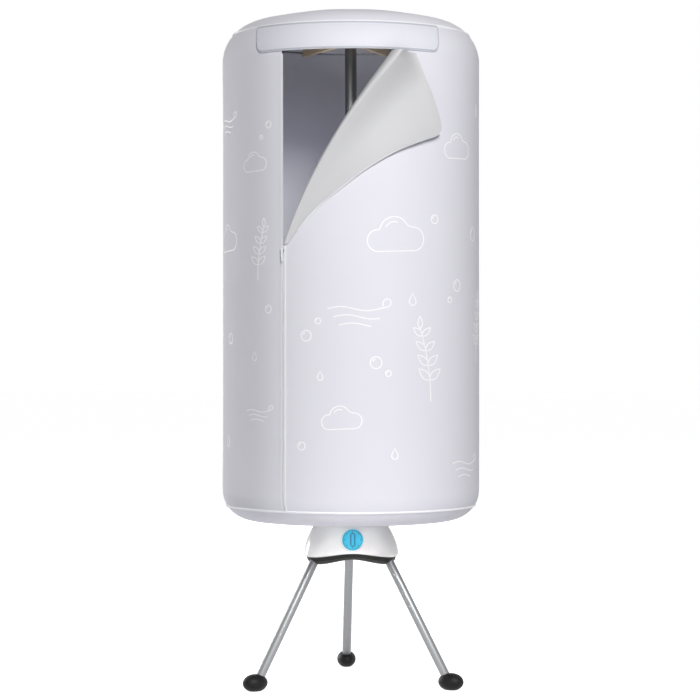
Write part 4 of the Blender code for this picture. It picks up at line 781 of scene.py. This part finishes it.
def sew(piece, name, node, **sheet):
    edit(piece, chosen="SELECT")
    bpy.ops.mesh.remove_doubles(threshold=0.00002)
    done()
    settle(piece)
    piece.data.materials.append(cover_cloth)
    piece.data.materials.append(cover_lining)
    modify(piece, "SOLIDIFY", thickness=CLOTH, offset=-1, material_offset=1)
    smooth(piece, 55)
    finish(piece, name, None, "root", "cover_cloth", node)


def cap_rows(end, leans, columns, start, shift):
    """Rows of a round piece of cloth on an end of the cover, moved in or out by shift(angle, ring)."""
    rows = []
    for lean in leans:
        ring = on_cap(end, 0, lean).xy.length
        angles = [start + number * tau / columns for number in range(columns + 1)]
        rows.append([(on_cap(end, angle, lean, shift(angle, ring)),
                      (ring * cos(angle), ring * sin(angle))) for angle in angles])
    return rows


def cap_sag(angle, ring):
    """How the cap hangs a little between the arms' tips."""
    span = max(0, min(1, (ring - CAP_SAG_START) / CAP_SAG_WIDTH))
    return -CAP_SAG * sin(pi * span) * sin(4 * (angle - pi / 8)) ** 2


def seam_columns(start, end, step_deg):
    """Angles across a panel, with a few close together at each end for the dip of a seam."""
    steps = max(4, round(abs(end - start) / radians(step_deg)))
    near = [place / COVER_RADIUS for place in SEAM_COLUMNS]
    inner = between(start + SEAM_MARGIN / COVER_RADIUS, end - SEAM_MARGIN / COVER_RADIUS, steps)
    return [start + place for place in near] + inner + [end - place for place in near[::-1]]


# Woven, coated and dull. Its 0.5 mm threads are too fine to show, so the weave is drawn at 1.6 mm: a
# wave texture has a band every pi / 10 units divided by its scale, and its UV map is in metres.
WEAVE_SCALE = 200


def woven(name, colour, shade, roughness, sheen):
    """Cloth with a plain weave on its UV map and slight tone changes across it."""
    material = toned(name, (colour, shade), 5, 2, Roughness=roughness, Sheen_Weight=sheen,
                     Sheen_Roughness=0.4, Specular_IOR_Level=0.15)
    tree = material.node_tree
    flat = add_node(tree, "TexCoord").outputs["UV"]
    across, along = (add_node(tree, "TexWave", {"Vector": flat, "Scale": WEAVE_SCALE, "Distortion": 0.4},
                              bands_direction=course).outputs["Fac"] for course in "XY")
    weave = add_node(tree, "Math", {0: across, 1: along}, operation="MULTIPLY")
    relief = add_node(tree, "Bump", {"Height": weave.outputs[0], "Strength": 0.10, "Distance": 0.0003})
    fill_sockets(tree.nodes["Principled BSDF"], {"Normal": relief.outputs[0]})
    return material


cover_cloth = woven("coated_polyester", "#e5e4eb", "#e2e1e9", 0.6, 0.02)
cover_lining = woven("coated_lining", "#cfcfd0", "#cbcbcd", 0.5, 0.05)

dome_angle = TOP_END[-1]
seam_lean = TOP_PIPING - PIPING_MARGIN / TOP_SHOULDER_RADIUS
leans = between(CAP_START, dome_angle, 26) + between(dome_angle, seam_lean, 14)[1:]
cap = add_sheet("cap", cap_rows(TOP_END, leans, 144, pi / 8, cap_sag)[::-1])
sew(cap, "domed_cap", "cover_top", flat=(0.54, 0.54), area=0.218, held="stretched",
    rests_on=["moulded_hanger_arm_1", "spring_hoop_top"])

low_lean = LOW_PIPING + PIPING_MARGIN / LOW_SHOULDER_RADIUS
top_lean = TOP_PIPING + PIPING_MARGIN / TOP_SHOULDER_RADIUS
side_top = TOP_SHOULDER_Z + TOP_SHOULDER_RADIUS * cos(top_lean)
low_heights = between(LOW_SHOULDER_Z - LOW_SHOULDER_RADIUS * cos(low_lean), LOW_SHOULDER_Z, 9)
top_heights = between(TOP_SHOULDER_Z, side_top, 12)
heights = low_heights + between(LOW_SHOULDER_Z, TOP_SHOULDER_Z, 44)[1:] + top_heights[1:]
for name, start, end, width in (
        ("back_panel", pi / 2 + SIDE_GAP, 1.5 * pi - SIDE_GAP, 0.867),
        ("left_panel", -pi / 2 + SIDE_GAP, ZIP_ANGLE - ZIP_EDGE, 0.276)):
    angles = seam_columns(start, end, 2.5)
    panel = add_sheet(name, [[laid(angle, height) for angle in angles] for height in heights])
    sew(panel, "sewn_" + name, "cover_" + name, flat=(width, 1.012), held="hung",
        rests_on=["spring_hoop_top"])


# Door: the front panel right of the zip. Its upper left corner is unzipped and turned back: the cloth
# rolls over on a slanting fold and lies, lining outwards, on the closed part of the door.
ZIP_TIP_Z = 0.934
DOOR_OPEN_WIDTH = 0.220
FLAP_HEAD_DROP = 0.006
ROLL_WIDTHS = (0.002, 0.010)            # each pair is for the tip and for the head of the corner
CREST_HEIGHTS = (0.006, 0.048)
DIP_WIDTHS = (0.024, 0.084)
REST_HEIGHTS = (0.0022, 0.004)
EDGE_HEIGHTS = (0.0042, 0.017)
EDGE_RISE_WIDTH = 0.08
DIP_LIMIT = 0.95                        # the most of the flap's width that the dip may take
DIP_STEEPNESS = 0.65
FOLD_CROWDING = 1.5                     # how much closer the columns stand towards the fold
FOLD_BOW = 0.12
FOLD_BEND = (0.024, 0.72, 0.28)
FREE_EDGE_SHARES = ((0.06, 0), (0.20, 0.10), (0.37, 0.20), (0.57, 0.29), (0.80, 0.39), (1.06, 0.48),
                    (1.31, 0.54), (1.50, 0.58), (1.53, 0.63), (1.43, 0.81), (1.28, 1.0))
TIP_MARGIN = 0.012
FLAP_COLUMNS = 26
ROLL_COLUMNS = 12
FLAP_ROWS = 60
flap_head = DOOR_HEAD_Z - FLAP_HEAD_DROP
flap_corner = Vector((COVER_RADIUS * ZIP_ANGLE, ZIP_TIP_Z))
flap_scale = Vector((DOOR_OPEN_WIDTH, flap_head - ZIP_TIP_Z))


def curve_through(points, share):
    """Point at a share of the way along a smooth curve through evenly numbered points."""
    along = share * (len(points) - 1)
    number = min(int(along), len(points) - 2)
    part = along - number
    before = Vector(points[max(number - 1, 0)])
    start, end = Vector(points[number]), Vector(points[number + 1])
    after = Vector(points[min(number + 2, len(points) - 1)])
    if number == 0:
        before = start * 2 - end
    if number == len(points) - 2:
        after = end * 2 - start
    return 0.5 * (2 * start + (end - before) * part
                  + (2 * before - 5 * start + 4 * end - after) * part ** 2
                  + (3 * start - before - 3 * end + after) * part ** 3)


def flap_section(share):
    """Points across the turned corner, (unrolled place, lift): free edge, flap, roll, drum."""
    roll, crest, dip, rest, edge = (
        tip + (head - tip) * share
        for tip, head in (ROLL_WIDTHS, CREST_HEIGHTS, DIP_WIDTHS, REST_HEIGHTS, EDGE_HEIGHTS))
    up = share + FOLD_BOW * sin(pi * share)
    start, slope, bend = FOLD_BEND
    fold = flap_corner + flap_scale * Vector((start + slope * up + bend * up * up, up))
    free = flap_corner + flap_scale * curve_through(FREE_EDGE_SHARES, share)
    course = (free - fold).normalized()
    reach = (free - fold).length - roll
    dip = min(dip, DIP_LIMIT * reach)
    edge = rest + (edge - rest) * min(1, (reach - dip) / EDGE_RISE_WIDTH)
    section = []
    for number in range(FLAP_COLUMNS):
        across = reach * (1 - number / FLAP_COLUMNS) ** FOLD_CROWDING
        lift = crest + (rest - crest) * eased(min(across / dip, 1) ** DIP_STEEPNESS)
        lift += (edge - rest) * eased((across - dip) / (reach - dip))
        section.append((fold + course * (roll + across), lift))
    for number in range(ROLL_COLUMNS + 1):
        turn = pi * (1 - number / ROLL_COLUMNS)
        section.append((fold + course * roll * (1 - sin(turn)), crest / 2 * (1 - cos(turn))))
    return section


turned_columns = FLAP_COLUMNS + ROLL_COLUMNS
door_edge = ZIP_ANGLE + ZIP_EDGE
door_end = pi / 2 - SIDE_GAP
head_angle = flap_section(1)[-1][0].x / COVER_RADIUS
low_door = low_heights + between(LOW_SHOULDER_Z, ZIP_TIP_Z - TIP_MARGIN, 26)[1:]
rows = []
for height in low_door:
    angles = [door_edge] * turned_columns + between(door_edge, door_end, 48)
    rows.append([laid(angle, height) for angle in angles])
for share in between(0, 1, FLAP_ROWS):
    section = flap_section(share)
    edge = section[-1][0]
    rows.append([laid_at(place, lift) for place, lift in section]
                + [laid(angle, edge.y) for angle in between(edge.x / COVER_RADIUS, door_end, 48)[1:]])
for height in [DOOR_HEAD_Z] + top_heights:
    angles = between(door_edge, head_angle, turned_columns)[:-1] + between(head_angle, door_end, 48)
    rows.append([laid(angle, height) for angle in angles])
door = add_sheet("door", rows)
edit(door, "FACE")
width = len(rows[0]) - 1
first_turned, over_flap = len(low_door) - 1, len(low_door) + FLAP_ROWS
pick(door, lambda face: face.index % width < turned_columns
     and (face.index // width <= first_turned or face.index // width == over_flap), "faces")
bpy.ops.mesh.delete(type="FACE")
done()
sew(door, "sewn_door", "door_panel", flat=(0.591, 1.012), held="hung", rests_on=["spring_hoop_top"])


# Bottom cap: a shallow dish of the same cloth, sewn in under the lower piping. A drawn hem gathers it
# round the neck of the heater's dome, so it puckers towards the middle.
HEM_RADIUS = 0.0015
PUCKERS = 48
PUCKER_DEPTH = 0.0011
PUCKER_WIDTH = 0.07
hem_edge, _, hem_z = extent("hem_cord")
hem_ring = hem_edge - HEM_RADIUS


def pucker(angle, ring):
    """How the gathers draw the cloth in, deepest at the hem."""
    near = max(0, 1 - (ring - hem_ring) / PUCKER_WIDTH) ** 2
    return near * PUCKER_DEPTH * (sin(PUCKERS * angle + 0.7 * sin(5 * angle)) - 1)


def hem_point(angle, row):
    """A corner of the hem: a rounded roll that swells between the gathers."""
    turn = row * tau / 12
    swell = 0.8 * (1 + 0.25 * sin(PUCKERS * angle))
    return at(angle, hem_ring + HEM_RADIUS * swell * cos(turn), hem_z + HEM_RADIUS * sin(turn))


base_radius, dome_angle = LOW_END[-2:]
seam_lean = LOW_PIPING - PIPING_MARGIN / LOW_SHOULDER_RADIUS
hole_lean = asin(hem_edge / base_radius)
leans = between(hole_lean, dome_angle, 26) + between(dome_angle, seam_lean, 14)[1:]
dish = add_sheet("dish", cap_rows(LOW_END, leans, 192, 0, pucker))
sew(dish, "bottom_cap", "cover_bottom", flat=(0.56, 0.56), area=0.222, held="stretched",
    rests_on=["spring_hoop_bottom", "housing_dome"])

hem = add_wall(192, 12, hem_point)
edit(hem, chosen="SELECT")
bpy.ops.mesh.remove_doubles(threshold=0.00002)
bpy.ops.mesh.normals_make_consistent(inside=False)
done()
finish(smooth(hem, 60), "gathered_hem", cover_cloth, "root", "cover_cloth", "hem_cord")


# Piping: a cord wrapped in a bias strip of the same cloth, sewn into both of the cover's round seams.
# It is a shade whiter and smoother than the panels, and stands a little proud of them.
PIPING_RADIUS = 0.0029
PIPING_SINK = 0.0008
piping_cloth = woven("piping_cloth", "#fafafd", "#f3f3f8", 0.4, 0.1)
for node, end, lean in (("piping_top", TOP_END, TOP_PIPING), ("piping_bottom", LOW_END, LOW_PIPING)):
    middle = on_cap(end, 0, lean, -PIPING_SINK)
    piping = smooth(add_hoop(middle.xy.length, PIPING_RADIUS, middle.z, 180, 12), 60)
    finish(piping, "cord_" + node, piping_cloth, "root", "piping_cord", node)


# Band: a soft PVC strip with a plain face, welded over the head of the door. It is raised 2 mm and has
# round corners and a rounded edge; a fine grey line round it is painted shade along that edge.
BAND_START = radians(-46.9)
BAND_END = radians(38.6)
BAND_CORNER = 0.018
BAND_TOP_CORNER = 0.009
BAND_THICKNESS = 0.002
BAND_GAP = 0.0003
BAND_EDGE = 0.0009
ROW_GAP = 0.002
# Width and rise of the painted shade line round the band's edge.
EDGE_SHADE_WIDTH = 0.0034
EDGE_SHADE_PROFILE = ((0.25, 0.0002), (0.6, 0.0011), (0.95, 0.0011), (1.3, 0.0002))   # share across, rise
band_pvc = moulded("soft_pvc", "#dfdfe7", 0.62, 2.0, "#dcdce5")
top_corner = side_top - BAND_TOP_CORNER
band_rows = [(DOOR_HEAD_Z + BAND_CORNER * (1 - cos(turn)), BAND_CORNER * (1 - sin(turn)))
             for turn in between(0, pi / 2, 10)]
low_corner = band_rows[-1][0]
band_rows += [(height, 0) for height in top_heights if low_corner + ROW_GAP < height < top_corner - ROW_GAP]
band_rows += [(top_corner + BAND_TOP_CORNER * sin(turn), BAND_TOP_CORNER * (1 - cos(turn)))
              for turn in between(0, pi / 2, 8)]


def band_edge(limit, height, inset):
    """Angle of the band's left or right end. The ends stand upright, so they reach further round above."""
    ring = on_cover(limit, height).xy.length
    return asin(COVER_RADIUS * sin(limit) / ring) - copysign(inset / COVER_RADIUS, limit)


def across_line(line):
    """At each point of a line, open or closed, the direction square to it."""
    closed = (line[0] - line[-1]).length < 0.00001
    sides = []
    for number, place in enumerate(line):
        before = line[number - 1] if number else line[-2] if closed else place
        after = line[number + 1] if number + 1 < len(line) else line[1] if closed else place
        course = (after - before).normalized()
        sides.append(Vector((course.y, -course.x)))
    return sides


left_side, right_side = ([(band_edge(limit, height, inset), height) for height, inset in band_rows]
                         for limit in (BAND_START, BAND_END))
rows = [[laid(angle, height, BAND_THICKNESS + BAND_GAP) for angle in between(start, end, 72)]
        for (start, height), (end, _) in zip(left_side, right_side)]
band = settle(add_sheet("band", rows))
modify(band, "SOLIDIFY", thickness=BAND_THICKNESS, offset=-1)
round_edges(band, BAND_EDGE, 3, 60)
smooth(band, 45)
finish(band, "welded_band", band_pvc, "root", "band_pvc", "name_band")

# Painted shade: a grey-blue bead, darker than the band, laid round its edge for the shade along its rounded
# rim.
band_edge_painted_shade = moulded("band_edge_painted_shade", "#bcc0c8", 0.6, 2.0, "#b6bac3")
low_side = [(angle, DOOR_HEAD_Z) for angle in between(left_side[0][0], right_side[0][0], 72)[1:-1]]
top_side = [(angle, band_rows[-1][0]) for angle in between(right_side[-1][0], left_side[-1][0], 72)[1:-1]]
edge_shade_line = [Vector((angle * COVER_RADIUS, height))
             for angle, height in left_side[::-1] + low_side + right_side + top_side]
edge_shade_line.append(edge_shade_line[0])
rows = [[laid_at(place - across * share * EDGE_SHADE_WIDTH, BAND_THICKNESS + rise)
         for share, rise in EDGE_SHADE_PROFILE] for place, across in zip(edge_shade_line, across_line(edge_shade_line))]
edge_shade = smooth(settle(add_sheet("edge_shade", rows)), 60)
finish(edge_shade, "band_edge_shade_line", band_edge_painted_shade, "root", "band_pvc")


# Print: white line drawings of clouds, a breeze, bubbles, drops and leaf sprigs, screen-printed with
# a flexible ink on the door, the left panel and the back. The lines are about 2 mm wide.
INK_WIDTH = 0.0022
INK_LIFT = 0.0003
INK_THICKNESS = 0.0002
white_ink = moulded("white_ink", "#fdfdfe", 0.45, 2.0, "#fafafc")


def arc(centre, radius, start, end):
    """Points along an arc, its ends in degrees from the right."""
    turns = between(radians(start), radians(end), max(6, round(abs(end - start) / 9)))
    return [centre + radius * Vector((cos(turn), sin(turn))) for turn in turns]


def cloud(place, size):
    """The outline of a cloud with three humps, and a short line inside the middle one."""
    left, middle, right, inner = (
        arc(place + size * Vector((across, up)), radius * size, start, end)
        for across, up, radius, start, end in (
            (-0.27, 0.09, 0.15, 270, 85), (-0.04, 0.21, 0.21, 165, 28), (0.25, 0.12, 0.16, 98, -82),
            (-0.04, 0.21, 0.14, 150, 70)))
    low = [right[-1].lerp(left[0], share) for share in between(0, 1, 16)]
    return [left + middle + right + low[1:], inner]


def breeze(place, length):
    """Three wavy lines, the upper one with a curled end."""
    strokes = []
    for number, share in enumerate((1, 0.8, 0.55)):
        start = place + Vector((0.1 * length * number, -0.14 * length * number))
        strokes.append([start + Vector((length * share * step, 0.035 * length * sin(7 * step * share)))
                        for step in between(0, 1, 24)])
    end = strokes[0][-1]
    for turn in between(0, 300, 26)[1:]:
        side, rise = sin(radians(turn)), 1 - cos(radians(turn))
        strokes[0].append(end + 0.12 * length * (1 - turn / 420) * Vector((side, rise)))
    return strokes


def bubble(place, radius):
    """A ring with a glint in it."""
    return [arc(place, radius, 0, 360), arc(place, 0.6 * radius, 105, 165)]


def drop(place, radius):
    """A water drop."""
    tip = place + Vector((0, 2.2 * radius))
    return [[tip] + arc(place, radius, 153, 387) + [tip]]


def sprig(place, height, lean):
    """A stem with four pairs of leaves and one at its tip."""
    stem = [place + height * Vector((lean * share * share, share)) for share in between(0, 1, 20)]
    strokes = [stem]
    leaves = [(share, side * 52) for share in (0.3, 0.5, 0.7, 0.88) for side in (-1, 1)] + [(1.0, 0)]
    for share, turn in leaves:
        root = stem[round(share * 20)]
        course = Vector((sin(radians(turn)), cos(radians(turn))))
        beside = Vector((course.y, -course.x))
        length = height * (0.27 - 0.1 * share)
        sides = [[root + course * length * step
                  + beside * side * 0.22 * length * sin(pi * step ** 0.8)
                  for step in between(0, 1, 10)] for side in (1, -1)]
        strokes.append(sides[0] + sides[1][-2::-1])
    return strokes


def from_bmesh(name, mesh):
    """An object from a finished bmesh."""
    piece = link(bpy.data.objects.new(name, bpy.data.meshes.new(name)))
    mesh.to_mesh(piece.data)
    mesh.free()
    return piece


def add_print(name, strokes):
    """The lines of a drawing as one thin layer of ink on the cloth."""
    mesh = bmesh.new()
    for line in strokes:
        rows = [[mesh.verts.new(laid_at(place + across * side * INK_WIDTH / 2, INK_LIFT)[0])
                 for side in (-1, 1)] for place, across in zip(line, across_line(line))]
        for start, end in zip(rows, rows[1:]):
            mesh.faces.new((start[0], start[1], end[1], end[0]))
    piece = from_bmesh(name, mesh)
    modify(piece, "SOLIDIFY", thickness=INK_THICKNESS, offset=-1)
    return finish(piece, name, white_ink, "root", "cover_cloth")


DRAWINGS = {                            # place across from the front and up, then size, all in mm; lean
    "print_door": (
        (cloud, 85, 925, 150), (breeze, -60, 800, 120), (sprig, 165, 610, 150, -0.18),
        (cloud, -30, 560, 100), (cloud, 250, 1120, 110), (breeze, 230, 480, 100), (bubble, -105, 745, 11),
        (bubble, -80, 775, 6), (bubble, 175, 985, 9), (bubble, 40, 690, 12), (bubble, 66, 668, 6),
        (bubble, -115, 520, 8), (bubble, 245, 850, 12), (bubble, 220, 820, 6), (drop, 120, 815, 8),
        (drop, 80, 500, 7), (drop, -75, 660, 6), (bubble, 320, 960, 14), (sprig, 345, 690, 130, 0.15),
        (drop, 350, 1220, 8)),
    "print_left": (
        (cloud, -235, 1090, 85), (bubble, -195, 1180, 7), (bubble, -215, 1155, 4),
        (sprig, -225, 860, 110, 0.16), (bubble, -195, 800, 8), (drop, -235, 700, 6),
        (breeze, -260, 590, 70), (cloud, -350, 930, 120), (bubble, -330, 740, 11),
        (breeze, -400, 1200, 90), (drop, -345, 520, 8)),
    "print_back": (
        (cloud, 860, 1080, 150), (breeze, 660, 960, 120), (sprig, 1020, 640, 150, -0.16),
        (cloud, 740, 660, 110), (bubble, 880, 880, 12), (bubble, 905, 855, 6), (bubble, 610, 800, 10),
        (drop, 950, 790, 8), (bubble, 1130, 930, 12), (drop, 820, 520, 7), (breeze, 1080, 1180, 100)),
}
for name, drawings in DRAWINGS.items():
    add_print(name, [stroke for draw, across, up, size, *lean in drawings
                     for stroke in draw(Vector((across / 1000, up / 1000)), size / 1000, *lean)])


# Zip: a nylon coil zip on woven tape, from the bottom seam to the band. It is closed up to the slider;
# above that the left half runs along the opening and the right half along the turned corner's edge.
ZIP_SLIT = 0.0016
TOOTH_PITCH = 0.0024
TOOTH_SIZE = (0.0026, 0.0013, 0.0016)
TOOTH_LIFT = 0.0003
TAPE_SHIFT = 0.0026
TAPE_WIDTH = 0.0046
TAPE_LIFT = 0.0011
TAPE_THICKNESS = 0.0010
FLAP_TAPE_SHIFT = 0.0012
FLAP_TAPE_WIDTH = 0.0024
FLAP_TAPE_THICKNESS = 0.0008
FLAP_TOOTH_DROP = 0.0004
FLAP_TAPE_ROWS = range(4, 46)
RIGHT_TIP_DROP = 0.003
zip_tape = woven("zip_tape", "#eeeef1", "#e6e6ea", 0.6, 0.1)
zip_nylon = moulded("zip_nylon", "#e9e8ea", 0.35, 3.0, "#dfdfe2")


def moved(line, across, up):
    """A line of (unrolled place, lift) pairs, moved on the cloth."""
    return [(place + Vector((across, up)), lift) for place, lift in line]


def add_ribbon(name, line, width, lift, thickness, node):
    """A tape along a line of (unrolled place, lift) pairs, lying on the cloth."""
    rows = [[laid_at(place + across * side * width / 2, rise + lift) for side in (-1, 1)]
            for (place, rise), across in zip(line, across_line([place for place, _ in line]))]
    ribbon = settle(add_sheet(name, rows))
    modify(ribbon, "SOLIDIFY", thickness=thickness, offset=-1)
    return finish(ribbon, name, zip_tape, "root", "zip_nylon", node)


def add_teeth(name, line, side, lift):
    """Teeth a pitch apart along a line, reaching to one side of it, as one piece."""
    mesh = bmesh.new()
    travelled = 0
    for (start, low), (end, high) in zip(line, line[1:]):
        length = (end - start).length
        course = (end - start).normalized()
        while travelled < length:
            share = travelled / length
            place = start.lerp(end, share)
            rise = low + (high - low) * share + lift
            middle = laid_at(place, rise)[0]
            ahead = (laid_at(place + course * 0.001, rise)[0] - middle).normalized()
            out = outward(place.x / COVER_RADIUS)
            beside = ahead.cross(out).normalized() * side
            for vert in bmesh.ops.create_cube(mesh, size=1)["verts"]:
                x, y, z = vert.co
                if x > 0:
                    y, z = y * 0.6, z * 0.7
                vert.co = (middle + beside * x * TOOTH_SIZE[0] + ahead * y * TOOTH_SIZE[1]
                           + out * z * TOOTH_SIZE[2])
            travelled += TOOTH_PITCH
        travelled -= length
    bmesh.ops.recalc_face_normals(mesh, faces=mesh.faces)
    piece = from_bmesh(name, mesh)
    modify(piece, "BEVEL", width=0.0003, segments=1)
    smooth(piece, 30)
    return finish(piece, name, zip_nylon, "root", "zip_nylon")


zip_x = COVER_RADIUS * ZIP_ANGLE
left_heights = [height for height in heights if height < flap_head] + [flap_head]
right_heights = low_door + [ZIP_TIP_Z - RIGHT_TIP_DROP]
for name, side, line_heights, stagger in (("left", 1, left_heights, 0),
                                          ("right", -1, right_heights, TOOTH_PITCH / 2)):
    line = [(Vector((zip_x - side * ZIP_SLIT / 2, height)), 0) for height in line_heights]
    tape_line = moved(line, -side * TAPE_SHIFT, 0)
    add_ribbon("zip_tape_" + name, tape_line, TAPE_WIDTH, TAPE_LIFT, TAPE_THICKNESS, "zipper_" + name)
    add_teeth("zip_teeth_" + name, moved(line, 0, stagger), side, TOOTH_LIFT)

flap_line = []
for number in FLAP_TAPE_ROWS:
    section = flap_section(number / FLAP_ROWS)
    (free, lift), (inner, _) = section[0], section[2]
    flap_line.append((free + (free - inner).normalized() * FLAP_TAPE_SHIFT, lift))
add_ribbon("zip_tape_flap", flap_line, FLAP_TAPE_WIDTH, 0, FLAP_TAPE_THICKNESS, "zipper_flap_edge")
add_teeth("zip_teeth_flap", flap_line, 1, -FLAP_TOOTH_DROP)


# Slider and pull: a die-cast zinc slider rides on the chain; its pull swings on a pin on its face.
# Both are cast shapes with slightly rounded edges, and a little rubbed by use.
cast_zinc = toned("cast_zinc", ("#c4c5c8", "#dcdde0"), 300, 3, Metallic=1.0, Roughness=0.42)
for name in ("slider", "pull"):
    piece = round_edges(copy_node("zipper_" + name, 30), 0.00035, 2, 40)
    finish(piece, "cast_" + name, cast_zinc, "zip_" + name, "steel", "zipper_" + name)
